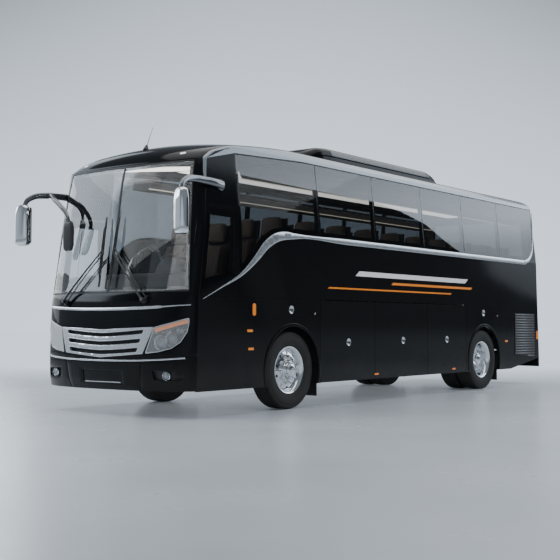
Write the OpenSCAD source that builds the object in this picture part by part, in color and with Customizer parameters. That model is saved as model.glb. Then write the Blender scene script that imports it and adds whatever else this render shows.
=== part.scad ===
// Coach bus, left-hand drive. X forward, Y to the left, Z up, millimetres.
// Origin on the ground, midway between the two axles.

/* [Body] */
// width over the side panels
body_width = 2500; // [2450:10:2560]
// bumper to bumper length
body_length = 9910; // [9700:10:10200]
// ground to roof crown
roof_height = 3450; // [3350:10:3550]
// ground to the lower edge of the skirt
skirt_height = 310; // [290:5:330]
// thickness of a whole wall, door or lid
wall = 45; // [35:1:50]
// thickness of a glass pane
glass = 8; // [5:1:10]
// gap around doors and lids
door_gap = 8; // [6:1:10]

/* [Running gear] */
// distance between the axles
wheelbase = 5420; // [5380:10:5460]
// outer diameter of a tyre
tyre_diameter = 1000; // [960:10:1020]
// width of one tyre
tyre_width = 280; // [250:5:285]
// diameter of the rim where the tyre sits
rim_diameter = 590; // [560:5:600]
// distance between the middles of the front tyres
front_track = 2140; // [2120:5:2150]
// space between tyre and wheel arch
arch_clearance = 65; // [60:1:70]

/* [Cabin] */
// top of the passenger deck
deck_height = 1300; // [1280:5:1320]
// top of the driver's platform
platform_height = 1000; // [980:5:1020]
// distance between seat rows
seat_pitch = 735; // [700:5:760]
// number of seat rows
seat_rows = 10; // [8:1:10]

/* [Detail] */
// facets on round parts
facets = 48; // [36:4:64]

/* [Hidden] */
$fn = facets;
gap = 0.3;
kx = body_length / 9910;
ky = body_width / 2500;
kz = (roof_height - skirt_height) / 3140;
half = body_width / 2;
axle_x = wheelbase / 2;
tyre_r = tyre_diameter / 2;
rim_r = rim_diameter / 2;
arch_r = tyre_r + arch_clearance;
kingpin_y = 930 * ky;
function lx(v) = v * kx;
function ly(v) = v * ky;
function lz(v) = skirt_height + (v - 310) * kz;
function xz(pts) = [for (p = pts) [lx(p[0]), lz(p[1])]];
function yz(pts) = [for (p = pts) [ly(p[0]), lz(p[1])]];
waist = lz(2240);
lean = ly(90) / (lz(3240) - lz(2240));
function side_y(z) = z <= waist ? half : half - lean * (z - waist);

// body shape by height: z, half width, nose, nose corner, tail, tail corner, roof share
RAW = [
  [310, 1250, 4810, 4530, -5000, -4945, 0],
  [400, 1250, 4850, 4530, -5026, -4945, 0],
  [560, 1250, 4875, 4530, -5030, -4945, 0],
  [650, 1250, 4880, 4530, -5030, -4940, 0],
  [1030, 1250, 4850, 4530, -5030, -4920, 0],
  [1370, 1250, 4800, 4530, -5022, -4900, 0],
  [1450, 1250, 4780, 4519, -5018, -4895, 0],
  [2240, 1250, 4632, 4416, -4990, -4860, 0],
  [3050, 1177.1, 4480, 4310, -4955, -4824, 0],
  [3150, 1168.1, 4410, 4160, -4945, -4819, 0.1],
  [3240, 1160, 4280, 3860, -4930, -4815, 0.15],
  [3300, 1150, 4120, 3325, -4905, -4770, 0.4],
  [3345, 1122, 3935, 2750, -4860, -4700, 0.7],
  [3375, 1075, 3740, 2360, -4790, -4600, 0.9],
  [3395, 1010, 3610, 2300, -4700, -4480, 1],
  [3410, 900, 3485, 2250, -4600, -4360, 1],
  [3424, 760, 3330, 2200, -4470, -4240, 1],
  [3435, 600, 3180, 2170, -4330, -4120, 1],
  [3444, 400, 2970, 2140, -4150, -3980, 1],
  [3450, 60, 2700, 2110, -3900, -3800, 1]
];
n_front = 9;
n_rear = 5;
ring_n = 2 * n_front + 1 + 2 * n_rear + 1;
function bow(i, n) = [pow(sin(90 * abs(i) / n), 0.909) * sign(i), pow(cos(90 * abs(i) / n), 0.909)];
function ring(r, t, drop) = let (
    w = ly(r[1]) - t * (1 - r[6]),
    z = lz(r[0]) - t * r[6] - drop,
    nose = lx(r[2]) - t * (1 - r[6]),
    nose_c = lx(r[3]),
    tail = lx(r[4]) + t * (1 - r[6]),
    tail_c = lx(r[5])
  ) concat(
    [for (i = [-n_front:n_front]) let (b = bow(i, n_front)) [nose_c + (nose - nose_c) * b[1], w * b[0], z]],
    [for (i = [-n_rear:n_rear]) let (b = bow(i, n_rear)) [tail_c + (tail - tail_c) * b[1], -w * b[0], z]]
  );

// closed body surface, moved in by t
module skin(t) {
  rows = len(RAW);
  pts = [for (k = [0:rows - 1]) each ring(RAW[k], t, (k == 0 && t > 0) ? 60 : 0)];
  n = ring_n;
  polyhedron(points = pts, faces = concat(
    [[for (i = [0:n - 1]) i]],
    [[for (i = [0:n - 1]) (rows - 1) * n + n - 1 - i]],
    [for (k = [0:rows - 2]) for (i = [0:n - 1]) [k * n + i, (k + 1) * n + i, (k + 1) * n + (i + 1) % n]],
    [for (k = [0:rows - 2]) for (i = [0:n - 1]) [k * n + i, (k + 1) * n + (i + 1) % n, k * n + (i + 1) % n]]
  ), convexity = 6);
}

// an outline in Y and Z run along X
module run_x(pts, x1, x2)
  translate([x1, 0, 0]) rotate([90, 0, 90]) linear_extrude(x2 - x1) polygon(pts);

// an outline in X and Z run along Y
module run_y(pts, y1, y2)
  translate([0, y2, 0]) rotate([90, 0, 0]) linear_extrude(y2 - y1) polygon(pts);

// a box given by its low and high corners
module box(a, b)
  translate(a) cube(b - a);

// a round bar between two points
module rod(a, b, r) {
  d = b - a;
  h = norm(d);
  translate(a) rotate([0, acos(d[2] / h), atan2(d[1], d[0])]) cylinder(h = h, r = r);
}

// a round bar with rounded ends
module limb(a, b, r)
  hull()
    for (p = [a, b])
      translate(p) sphere(r = r, $fn = 16);

module on_side(s) {
  if (s > 0) children();
  else mirror([0, 1, 0]) children();
}

// piece of the left side between two depths, cut to an X and Z outline
module side_piece(pts, a, b) {
  zs = [for (p = pts) p[1]];
  xs = [for (p = pts) p[0]];
  z1 = min(zs);
  z2 = max(zs);
  mid = z1 < waist && z2 > waist;
  sec = concat(
    [[side_y(z1) - a, z1]],
    mid ? [[half - a, waist]] : [],
    [[side_y(z2) - a, z2], [side_y(z2) - b, z2]],
    mid ? [[half - b, waist]] : [],
    [[side_y(z1) - b, z1]]
  );
  intersection() {
    run_x(sec, min(xs) - 1, max(xs) + 1);
    run_y(pts, 900, 1400);
  }
}

// outlines on the side, X and Z
SIDE = xz([[4530, 310], [4530, 1370], [4310, 3050], [3780, 3177], [2410, 3240], [-4815, 3240],
  [-4890, 1555], [-4945, 530], [-4935, 480], [-3730, 310]]);
GLAZING = xz([[3782, 1700], [3782, 3165], [2410, 3232], [-4800, 3232], [-4765, 2610], [-4700, 2440],
  [-4560, 2330], [-4350, 2270], [2855, 2270], [3080, 2240], [3299, 2123], [3475, 1947], [3620, 1810]]);
PANE_SEAMS = [2110, 710, -690, -2020, -3350];
FRONT_PANE = xz([[3778, 1708], [3778, 3162], [2410, 3229], [2113, 3229], [2113, 2273], [2856, 2273],
  [3082, 2243], [3301, 2127], [3477, 1951], [3622, 1814]]);
LAST_PANE = xz([[-3353, 2273], [-3353, 3229], [-4797, 3229], [-4762, 2612], [-4698, 2443],
  [-4558, 2333], [-4348, 2273]]);
// the right side's glazing ends at the passenger door
GLAZING_R = xz([[3664, 1780], [3664, 3168], [2410, 3232], [-4800, 3232], [-4765, 2610], [-4700, 2440],
  [-4560, 2330], [-4350, 2270], [2855, 2270], [3080, 2240], [3299, 2123], [3475, 1947], [3620, 1810]]);
FRONT_PANE_R = xz([[3661, 1786], [3661, 3165], [2410, 3229], [2113, 3229], [2113, 2273], [2856, 2273],
  [3082, 2243], [3301, 2127], [3477, 1951], [3622, 1814]]);
DRIVER_PANE = xz([[4441, 1566], [4333, 2412], [3870, 2409], [3903, 1691]]);
DRIVER_REBATE = xz([[4444, 1562], [4336, 2415], [3867, 2412], [3900, 1687]]);
DRIVER_HOLE = xz([[4402, 1620], [4306, 2380], [3902, 2377], [3934, 1730]]);
DOOR = xz([[4466, 334], [4466, 1370], [4322, 2476], [3704, 2476], [3704, 334]]);
DOORWAY = xz([[4474, 300], [4474, 1370], [4330, 2484], [3696, 2484], [3696, 300]]);
DOOR_PANE = xz([[4400, 800], [4400, 1370], [4270, 2400], [3770, 2400], [3770, 800]]);
DOOR_REBATE = xz([[4403, 797], [4403, 1371], [4273, 2403], [3767, 2403], [3767, 797]]);
DOOR_HOLE = xz([[4365, 840], [4365, 1368], [4240, 2365], [3805, 2365], [3805, 840]]);
bay_front = axle_x - arch_r - 40;
bay_rear = lx(-2041);
bay_seam_1 = lx(750);
bay_seam_2 = lx(-767);
bay_top = lz(1416);

module arch_cuts() {
  for (x = [axle_x, -axle_x])
    translate([x, 900, tyre_r]) rotate([-90, 0, 0]) cylinder(h = 500, r = arch_r);
}

module side_wall(doorway) {
  difference() {
    side_piece(SIDE, 0, wall);
    side_piece(doorway ? GLAZING_R : GLAZING, -2, glass + gap);
    window_holes(doorway ? 3620 : 3735);
    arch_cuts();
    box([bay_rear - door_gap / 2, 900, 200], [bay_front + door_gap / 2, 1400, bay_top + door_gap / 2]);
    if (doorway) run_y(DOORWAY, 900, 1400);
    if (!doorway) side_piece(DRIVER_REBATE, -2, glass + gap);
    if (!doorway) run_y(DRIVER_HOLE, 900, 1400);
  }
}

module window_holes(front) {
  run_y(xz([[front, front > 3700 ? 1790 : 1890], [front, 3115], [2400, 3180], [2150, 3180], [2150, 2330], [2870, 2330],
    [3110, 2295], [3330, 2170], [3510, 1990]]), 900, 1400);
  for (i = [0:3])
    box([lx(PANE_SEAMS[i + 1] + 40), 900, lz(2330)], [lx(PANE_SEAMS[i] - 40), 1400, lz(3180)]);
  run_y(xz([[-3390, 2330], [-3390, 3180], [-4740, 3180], [-4715, 2630], [-4650, 2480],
    [-4530, 2390], [-4340, 2330]]), 900, 1400);
}

module left_side_wall() color([0.03, 0.03, 0.035]) side_wall(false);

module right_side_wall() color([0.03, 0.03, 0.035]) mirror([0, 1, 0]) side_wall(true);

module side_windows() color([0.08, 0.09, 0.1, 0.5]) {
  for (s = [1, -1]) on_side(s) {
    side_piece(s > 0 ? FRONT_PANE : FRONT_PANE_R, 0, glass);
    for (i = [0:3])
      side_piece([[lx(PANE_SEAMS[i + 1] + 3), lz(2273)], [lx(PANE_SEAMS[i] - 3), lz(2273)],
        [lx(PANE_SEAMS[i] - 3), lz(3229)], [lx(PANE_SEAMS[i + 1] + 3), lz(3229)]], 0, glass);
    side_piece(LAST_PANE, 0, glass);
  }
  side_piece(DRIVER_PANE, 0, glass);
}

module roof_shell() color([0.04, 0.04, 0.045])
  difference() {
    intersection() {
      skin(0);
      run_y(concat(xz([[-5300, 3240], [2410, 3240], [3780, 3177], [4310, 3050], [5300, 3050],
        [5300, 3700], [-5300, 3700]])), -1400, 1400);
    }
    skin(wall);
  }

FRONT_AREA = [[lx(4530) + gap, lz(690) + gap], [lx(4530) + gap, lz(1370)], [lx(4310) + gap, lz(3050) - gap],
  [5400, lz(3050) - gap], [5400, lz(690) + gap]];
SCREEN = yz([[-1185, 1470], [-1066, 3030], [1066, 3030], [1185, 1470]]);
SCREEN_HOLE = yz([[-1145, 1515], [-1030, 2985], [1030, 2985], [1145, 1515]]);
GRILLE = yz([[-793, 1054], [0, 1026], [793, 1054], [676, 748], [0, 695], [-676, 748]]);
LAMP = yz([[812, 1048], [1193, 1150], [1197, 1100], [1180, 1000], [1132, 900], [1030, 826], [877, 785], [720, 765]]);

module front_shell() color([0.03, 0.03, 0.035])
  difference() {
    intersection() {
      skin(0);
      run_y(FRONT_AREA, -1400, 1400);
    }
    skin(wall);
    difference() {
      run_x(SCREEN, lx(4200), 5400);
      skin(glass + gap);
    }
    run_x(SCREEN_HOLE, lx(4200), 5400);
    run_x(GRILLE, lx(4500), 5400);
    run_x(LAMP, lx(4535), 5400);
    mirror([0, 1, 0]) run_x(LAMP, lx(4535), 5400);
  }

module windshield() color([0.25, 0.28, 0.3, 0.35])
  for (s = [1, -1]) on_side(s)
    difference() {
      intersection() {
        skin(0);
        run_x(yz([[4, 1473], [1181, 1473], [1063, 3027], [4, 3027]]), lx(4200), 5400);
      }
      skin(glass);
    }

module grille() color([0.75, 0.76, 0.78])
  difference() {
    intersection() {
      skin(0);
      run_x(yz([[-792.7, 1053.5], [0, 1025.6], [792.7, 1053.5], [675.7, 748.4], [0, 695.4], [-675.7, 748.4]]),
        lx(4500), 5400);
    }
    skin(wall);
    for (i = [0:2])
      run_x(yz([[-650 + 30 * i, 1010 - 92 * i], [0, 985 - 102 * i], [650 - 30 * i, 1010 - 92 * i],
        [635 - 30 * i, 968 - 97 * i], [0, 943 - 104 * i], [-635 + 30 * i, 968 - 97 * i]]), lx(4600), 5400);
  }

module headlamps() color([0.8, 0.82, 0.85, 0.5])
  for (s = [1, -1]) on_side(s)
    difference() {
      intersection() {
        skin(0);
        run_x(yz([[812.3, 1047.6], [1192.6, 1149.6], [1196.6, 1100], [1179.6, 1000.3], [1131.6, 900.4],
          [1029.8, 826.4], [876.8, 785.4], [720.6, 765.4]]), lx(4535), 5400);
      }
      skin(wall);
    }

module front_bumper() color([0.03, 0.03, 0.035])
  difference() {
    intersection() {
      skin(0);
      run_y([[lx(4530) + gap, lz(310)], [lx(4530) + gap, lz(690)], [5400, lz(690)], [5400, lz(310)]],
        -1400, 1400);
    }
    skin(wall);
  }

REAR_AREA = [[lx(-4815) - gap, lz(3240) - gap], [lx(-5300), lz(3240) - gap], [lx(-5300), lz(525)], [lx(-4935), lz(480)],
  [lx(-4945) - gap, lz(530)], [lx(-4890) - gap, lz(1555)]];
LID = yz([[-850, 620], [-850, 1480], [850, 1480], [850, 620]]);
BACKLIGHT = yz([[-980, 2150], [-920, 3080], [920, 3080], [980, 2150]]);
TAIL = yz([[960, 700], [960, 1330], [1130, 1330], [1130, 700]]);

module rear_shell() color([0.03, 0.03, 0.035])
  difference() {
    intersection() {
      skin(0);
      run_y(REAR_AREA, -1400, 1400);
    }
    skin(wall);
    run_x(yz([[-858, 612], [-858, 1488], [858, 1488], [858, 612]]), lx(-5400), lx(-4700));
    difference() {
      run_x(BACKLIGHT, lx(-5400), lx(-4700));
      skin(glass + gap);
    }
    run_x(yz([[-940, 2190], [-885, 3040], [885, 3040], [940, 2190]]), lx(-5400), lx(-4700));
    run_x(TAIL, lx(-5400), lx(-4800));
    mirror([0, 1, 0]) run_x(TAIL, lx(-5400), lx(-4800));
  }

module engine_lid() color([0.03, 0.03, 0.035])
  difference() {
    intersection() {
      skin(0);
      run_x(LID, lx(-5400), lx(-4700));
    }
    skin(wall);
  }

module rear_window() color([0.08, 0.09, 0.1, 0.5])
  difference() {
    intersection() {
      skin(0);
      run_x(yz([[-976, 2153], [-917, 3077], [917, 3077], [976, 2153]]), lx(-5400), lx(-4700));
    }
    skin(glass);
  }

module tail_lamps() color([0.6, 0.03, 0.02])
  for (s = [1, -1]) on_side(s)
    difference() {
      intersection() {
        skin(0);
        run_x(yz([[960.3, 700.3], [960.3, 1329.7], [1129.7, 1329.7], [1129.7, 700.3]]), lx(-5400), lx(-4800));
      }
      skin(wall);
    }

module passenger_door() color([0.03, 0.03, 0.035])
  mirror([0, 1, 0]) {
    difference() {
      side_piece(DOOR, 0, wall);
      side_piece(DOOR_REBATE, -2, glass + gap);
      run_y(DOOR_HOLE, 900, 1400);
    }
    // upright post that the swing arm carries
    translate([lx(3950), ly(1120), lz(560)]) cylinder(h = lz(1330) - lz(560), r = 18);
    for (z = [580, 1310])
      box([lx(3950) - 18, ly(1120), lz(z)], [lx(3950) + 18, half - wall + 1, lz(z) + 20]);
  }

module passenger_door_glass() color([0.1, 0.11, 0.12, 0.5])
  mirror([0, 1, 0]) side_piece(DOOR_PANE, 0, glass);

// upright column with two bent links to the door's post
module passenger_door_arm() color([0.2, 0.2, 0.21])
  difference() {
    union() {
      translate([lx(4400), -ly(1120), lz(440)]) cylinder(h = lz(1340) - lz(440), r = 25);
      for (z = [620, 1230])
        translate([0, 0, lz(z)]) {
          translate([lx(3950), -ly(1120), 0]) cylinder(h = 40, r = 32);
          linear_extrude(40)
            polygon([for (p = [[4409, -1107], [4275, -1016], [3946, -1104], [3954, -1136], [4270, -1055],
              [4391, -1133]]) [lx(p[0]), ly(p[1])]]);
        }
    }
    for (z = [620, 1230])
      translate([lx(3950), -ly(1120), lz(z) - 10]) cylinder(h = 60, r = 18.05);
  }

module luggage_door(x1, x2)
  side_piece([[x1, lz(314)], [x2, lz(314)], [x2, bay_top - door_gap / 2], [x1, bay_top - door_gap / 2]], 0, wall);

module left_luggage_door_front() color([0.03, 0.03, 0.035])
  luggage_door(bay_seam_1 + door_gap / 2, bay_front - door_gap / 2);
module left_luggage_door_middle() color([0.03, 0.03, 0.035])
  luggage_door(bay_seam_2 + door_gap / 2, bay_seam_1 - door_gap / 2);
module left_luggage_door_rear() color([0.03, 0.03, 0.035])
  luggage_door(bay_rear + door_gap / 2, bay_seam_2 - door_gap / 2);
module right_luggage_door_front() color([0.03, 0.03, 0.035])
  mirror([0, 1, 0]) luggage_door(bay_seam_1 + door_gap / 2, bay_front - door_gap / 2);
module right_luggage_door_middle() color([0.03, 0.03, 0.035])
  mirror([0, 1, 0]) luggage_door(bay_seam_2 + door_gap / 2, bay_seam_1 - door_gap / 2);
module right_luggage_door_rear() color([0.03, 0.03, 0.035])
  mirror([0, 1, 0]) luggage_door(bay_rear + door_gap / 2, bay_seam_2 - door_gap / 2);

inner = half - wall - gap;
bay_floor = 400;
bulk_f = axle_x - 610;
bulk_r = -axle_x + 650;

// deck, driver's platform, entrance steps and the panels under them
module cabin_floor() color([0.35, 0.35, 0.37]) {
  step_f = lx(4490);
  box([lx(-4800), -inner, deck_height - 40], [axle_x + 630, inner, deck_height]);
  box([axle_x + 610, -inner, 420], [axle_x + 630, inner, deck_height]);
  box([axle_x + 610, ly(-330), platform_height - 40], [step_f, inner, platform_height]);
  box([axle_x + 610, -inner, platform_height - 40], [lx(3690), ly(-300), platform_height]);
  box([lx(3670), -inner, 420], [lx(3690), ly(-490), platform_height]);
  box([lx(3670), ly(-500), 580], [lx(3690), ly(-330), platform_height]);
  box([lx(3670), -inner + 30, 400], [step_f, ly(-900), 420]);
  box([lx(3670), ly(-900), 400], [step_f, ly(-880), 600]);
  box([lx(3670), ly(-900), 600], [step_f, ly(-640), 620]);
  box([lx(3670), ly(-640), 600], [step_f, ly(-620), 800]);
  box([lx(3670), ly(-640), 800], [step_f, ly(-330), 820]);
  box([lx(3670), ly(-350), 800], [step_f, ly(-330), platform_height]);
  box([axle_x + 620, ly(-700), platform_height - 1], [axle_x + 860, ly(200), platform_height + 150]);
  box([lx(-4800), -inner, deck_height - 1], [lx(-4780), inner, deck_height + 60]);
}

// bay floor with its posts between the doors
module luggage_floor() color([0.3, 0.3, 0.32]) {
  box([bulk_r + gap, -inner, bay_floor - 20], [bulk_f - gap, inner, bay_floor]);
  for (x = [bay_seam_1, bay_seam_2])
    for (s = [1, -1])
      on_side(s) box([x - 30, inner - 60, bay_floor - 1], [x + 30, inner, deck_height - 40 - gap]);
}

// sills, rails, cross members and bulkheads, each its own length of metal
module chassis_frame() color([0.12, 0.12, 0.13]) {
  top = deck_height - 40 - gap;
  yr = ly(430);
  front_end = lx(4580);
  rear_end = lx(-4840);
  box([bulk_f, -inner, 320], [bulk_f + 10, inner, top]);
  box([bulk_r - 10, -inner, 320], [bulk_r, inner, top]);
  for (y = [-1000, -430, 430, 1000])
    box([bulk_r + gap, ly(y) - 30, 330], [bulk_f - gap, ly(y) + 30, bay_floor - 20 - gap]);
  for (y = [-yr, yr]) {
    box([bulk_f + 10 + gap, y - 35, 680], [axle_x + 610 - gap, y + 35, 860]);
    box([axle_x + 500, y - 35, 430], [axle_x + 610 - gap, y + 35, 680 - gap]);
    box([axle_x + 630 + gap, y - 35, 420], [front_end - gap, y + 35, 560]);
    box([rear_end + gap, y - 35, 680], [bulk_r - 10 - gap, y + 35, 860]);
  }
  box([axle_x + 540, -yr + 35 + gap, 700], [axle_x + 600, yr - 35 - gap, 820]);
  box([lx(-3400), -yr + 35 + gap, 700], [lx(-3330), yr - 35 - gap, 820]);
  box([front_end, -ly(900), 420], [front_end + 60, ly(900), 560]);
  box([rear_end - 60, -ly(900), 700], [rear_end, ly(900), 820]);
  box([lx(-4985) + gap, -15, 720], [rear_end - 60 - gap, 15, 780]);
  box([rear_end - 60, -50, 550 + gap], [rear_end, 50, 700 - gap]);
  // towing lugs with upright pin holes
  difference() {
    box([front_end + 60 + gap, -60, 470], [front_end + 180, 60, 520]);
    translate([front_end + 130, 0, 400]) cylinder(h = 200, r = 20);
  }
  difference() {
    box([rear_end - 130, -60, 500], [rear_end, 60, 550]);
    translate([rear_end - 90, 0, 400]) cylinder(h = 200, r = 20);
  }
}

module engine_block() color([0.25, 0.25, 0.26])
  box([lx(-4700), -ly(430) + 35 + gap, 500], [lx(-3500), ly(430) - 35 - gap, 1180]);

module front_axle_beam() color([0.15, 0.15, 0.16])
  translate([axle_x, 0, tyre_r]) {
    difference() {
      union() {
        box([-50, -kingpin_y, -140], [50, kingpin_y, -40]);
        for (s = [1, -1])
          translate([0, s * kingpin_y, -140]) cylinder(h = 100, r = 50);
      }
      for (s = [1, -1])
        translate([0, s * kingpin_y, -150]) cylinder(h = 120, r = 24.05);
    }
  }

module knuckle() color([0.2, 0.2, 0.21])
  translate([axle_x, kingpin_y, tyre_r]) {
    translate([0, 0, -160]) cylinder(h = 230, r = 24);
    translate([0, 0, -34]) cylinder(h = 104, r = 52);
    translate([0, 0, -166]) cylinder(h = 20, r = 52);
    rotate([-90, 0, 0]) cylinder(h = front_track / 2 - kingpin_y + 60, r = 31);
  }
module left_knuckle() knuckle();
module right_knuckle() mirror([0, 1, 0]) knuckle();

module rear_axle() color([0.15, 0.15, 0.16])
  translate([-axle_x, 0, tyre_r]) {
    rotate([90, 0, 0]) cylinder(h = 1180, r = 75, center = true);
    rotate([90, 0, 0]) cylinder(h = 2250, r = 45, center = true);
    sphere(r = 170, $fn = 32);
  }

// bellows between the axles and the rails
module air_springs() color([0.06, 0.06, 0.06])
  for (s = [1, -1]) {
    translate([axle_x, s * ly(430), tyre_r - 40 + gap]) cylinder(h = 680 - tyre_r + 40 - 2 * gap, r = 100);
    translate([-axle_x, s * ly(430), tyre_r + 75 + gap]) cylinder(h = 680 - tyre_r - 75 - 2 * gap, r = 100);
  }

module tyre() {
  w = tyre_width / 2;
  rotate([90, 0, 0]) rotate_extrude($fn = 72)
    polygon([[rim_r, -w + 30], [rim_r + 40, -w + 8], [rim_r + 110, -w], [tyre_r - 40, -w + 8],
      [tyre_r - 10, -w + 20], [tyre_r, -w + 40], [tyre_r, w - 40], [tyre_r - 10, w - 20],
      [tyre_r - 40, w - 8], [rim_r + 110, w], [rim_r + 40, w - 8], [rim_r, w - 30]]);
}

// rim with its disc set at depth d from the middle, outer face towards +Y
module rim(d, bore) {
  w = tyre_width / 2 - 18;
  rotate([-90, 0, 0]) rotate_extrude($fn = 72)
    polygon([[bore, d - 30], [bore, d + 55], [90, d + 55], [100, d + 12], [170, d + 12], [rim_r - 45, d + 30],
      [rim_r - 25, w - 25], [rim_r - 10, w], [rim_r - gap, w], [rim_r - gap, -w], [rim_r - 12, -w],
      [rim_r - 35, -w + 40], [rim_r - 50, d - 12], [170, d - 12], [110, d - 30]]);
}

module wheel_place(x, y) translate([x, y, tyre_r]) children();
rear_y = 1075 * ky;
twin = 310;

module front_left_tyre() color([0.03, 0.03, 0.03]) wheel_place(axle_x, front_track / 2) tyre();
module front_right_tyre() color([0.03, 0.03, 0.03]) wheel_place(axle_x, -front_track / 2) tyre();
module front_left_rim() color([0.8, 0.81, 0.83]) wheel_place(axle_x, front_track / 2) rim(60, 31.05);
module front_right_rim() color([0.8, 0.81, 0.83]) mirror([0, 1, 0]) front_left_rim();

module rear_left_tyres() color([0.03, 0.03, 0.03]) {
  wheel_place(-axle_x, rear_y) tyre();
  wheel_place(-axle_x, rear_y - twin) tyre();
}
module rear_right_tyres() color([0.03, 0.03, 0.03]) mirror([0, 1, 0]) rear_left_tyres();

module rear_left_rims() color([0.8, 0.81, 0.83])
  wheel_place(-axle_x, rear_y) rotate([-90, 0, 0]) rotate_extrude($fn = 72) {
    w = tyre_width / 2 - 18;
    polygon([[45.05, -twin + 80], [45.05, 60], [110, 60], [120, -80], [170, -95], [rim_r - 50, -95],
      [rim_r - 35, w - 40], [rim_r - 10, w], [rim_r - gap, w], [rim_r - gap, -w - 2], [rim_r - gap, w - twin],
      [rim_r - gap, -w - twin], [rim_r - 12, -w - twin], [rim_r - 40, -w - twin + 60], [rim_r - 50, -140],
      [170, -140], [120, -150], [110, -twin + 80]]);
  }
module rear_right_rims() color([0.8, 0.81, 0.83]) mirror([0, 1, 0]) rear_left_rims();

module mudflaps() color([0.05, 0.05, 0.05])
  for (s = [1, -1]) on_side(s) {
    box([bulk_f + 18, ly(930), 140], [bulk_f + 26, ly(1200), 600]);
    box([bulk_f + 10 + gap, ly(1000), 420], [bulk_f + 18, ly(1130), 560]);
    box([-axle_x - 568, ly(650), 130], [-axle_x - 560, ly(1200), 600]);
    box([-axle_x - 568, ly(430) + 35 + gap, 540], [-axle_x - 560, ly(700), 800]);
  }

// heads outside the front corners, on arms from the roof posts
module exterior_mirrors() color([0.75, 0.76, 0.78])
  for (s = [1, -1]) on_side(s) {
    a = [lx(4080), side_y(lz(2765) - 46) + gap, lz(2765)];
    b = [lx(4420), ly(1262), lz(2757)];
    c = [lx(4860), ly(1320), lz(2690)];
    d = [lx(4930), ly(1350), lz(2590)];
    translate(a) rotate([-90, 0, 0]) cylinder(h = 24, r = 45);
    limb([a[0], a[1] + 20, a[2]], b, 17);
    limb(b, c, 17);
    limb(c, d, 17);
    hull()
      for (z = [2140, 2570])
        translate([lx(4944), ly(1385), lz(z)]) scale([0.86, 1, 0.5]) sphere(r = 100, $fn = 32);
  }

module wiper(p, e, b1, b2) {
  translate([p[0] - 40, p[1], p[2]]) rotate([0, 90, 0]) cylinder(h = 60, r = 22);
  rod(p, e, 9);
  translate(e) sphere(r = 12, $fn = 20);
  rod(b1, b2, 8);
  rod(e, (b1 + b2) / 2, 8);
}

module wipers() color([0.05, 0.05, 0.05]) {
  difference() {
    union() {
      wiper([lx(4795), ly(640), lz(1370)], [lx(4715), ly(20), lz(1985)],
        [lx(4795), ly(75), lz(1540)], [lx(4635), ly(75), lz(2390)]);
      wiper([lx(4780), ly(-760), lz(1370)], [lx(4715), ly(-215), lz(1975)],
        [lx(4795), ly(-110), lz(1540)], [lx(4632), ly(-150), lz(2400)]);
    }
    skin(-gap);
  }
}

// roof unit sitting on the cambered roof
module roof_air_conditioner() color([0.07, 0.07, 0.075])
  intersection() {
    run_x(concat(
      [[ly(850), lz(3428)], [ly(835), lz(3560)], [ly(770), lz(3640)], [ly(-770), lz(3640)],
        [ly(-835), lz(3560)], [ly(-850), lz(3428)]],
      [for (p = [[-760, 3424], [-600, 3435], [-400, 3444], [-60, 3450], [60, 3450], [400, 3444], [600, 3435],
        [760, 3424]]) [ly(p[0]), lz(p[1]) + gap]]
    ), lx(-1900), lx(1670));
    run_y(xz([[-1900, 3400], [1670, 3400], [1640, 3500], [1330, 3640], [-1600, 3640], [-1870, 3520]]),
      -1400, 1400);
  }

wheel_c = [lx(4190), ly(650), lz(1800)];
wheel_tilt = -30;

module dashboard() color([0.1, 0.1, 0.105])
  difference() {
    union() {
      translate([0, 0, platform_height + gap]) linear_extrude(lz(1660) - platform_height - gap)
        polygon([[lx(4330), ly(-960)], [lx(4560), ly(-960)], [lx(4640), ly(-600)], [lx(4680), ly(-200)],
          [lx(4680), ly(200)], [lx(4640), ly(600)], [lx(4560), ly(960)], [lx(4500), ly(1080)],
          [lx(4290), ly(1080)], [lx(4290), ly(250)], [lx(4360), ly(120)]]);
      translate(wheel_c) rotate([0, wheel_tilt, 0]) translate([0, 0, -330]) cylinder(h = 200, r = 55);
    }
    translate(wheel_c) rotate([0, wheel_tilt, 0]) translate([0, 0, -290]) cylinder(h = 300, r = 20.8);
  }

module steering_wheel() color([0.06, 0.06, 0.06])
  translate(wheel_c) rotate([0, wheel_tilt, 0]) {
    rotate_extrude() translate([225, 0]) circle(r = 16, $fn = 20);
    translate([0, 0, -60]) cylinder(h = 50, r = 60);
    translate([0, 0, -250]) cylinder(h = 200, r = 20);
    for (a = [30, 150, 270])
      rotate([0, 0, a]) rod([50, 0, -40], [222, 0, -4], 10);
  }

// side views of a seat's base and back from the floor up, X forward
SEAT_BASE = [[-330, 0], [-60, 0], [-40, 280], [60, 330], [60, 440], [-40, 460], [-345, 430], [-400, 300], [-340, 240]];
SEAT_BACK = [[-345.3, 431], [-440, 900], [-480, 1150], [-520, 1220], [-590, 1215], [-600, 1150], [-520, 600],
  [-470, 360], [-400.4, 300]];

// h is the height to the headrest's top, base to the cushion's
module seat_base(x, y1, y2, z, base)
  run_y([for (p = SEAT_BASE) [x + p[0], z + p[1] * base / 460]], y1, y2);
module seat_back(x, y1, y2, z, base, h)
  run_y([for (p = SEAT_BACK) [x + p[0], z + (p[1] < 440 ? p[1] * base / 460
    : base + (p[1] - 460) * (h - base) / 760)]], y1, y2);

function row_x(i, s) = lx(3280) - i * seat_pitch - (s < 0 ? 260 : 0);

module seat_bases() color([0.35, 0.28, 0.23]) {
  for (i = [0:seat_rows - 1])
    for (s = [1, -1])
      on_side(s) seat_base(row_x(i, s), 250, inner - 40, deck_height + gap, 460);
  seat_base(lx(4080), ly(430), ly(930), platform_height + gap, 620);
}

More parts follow.
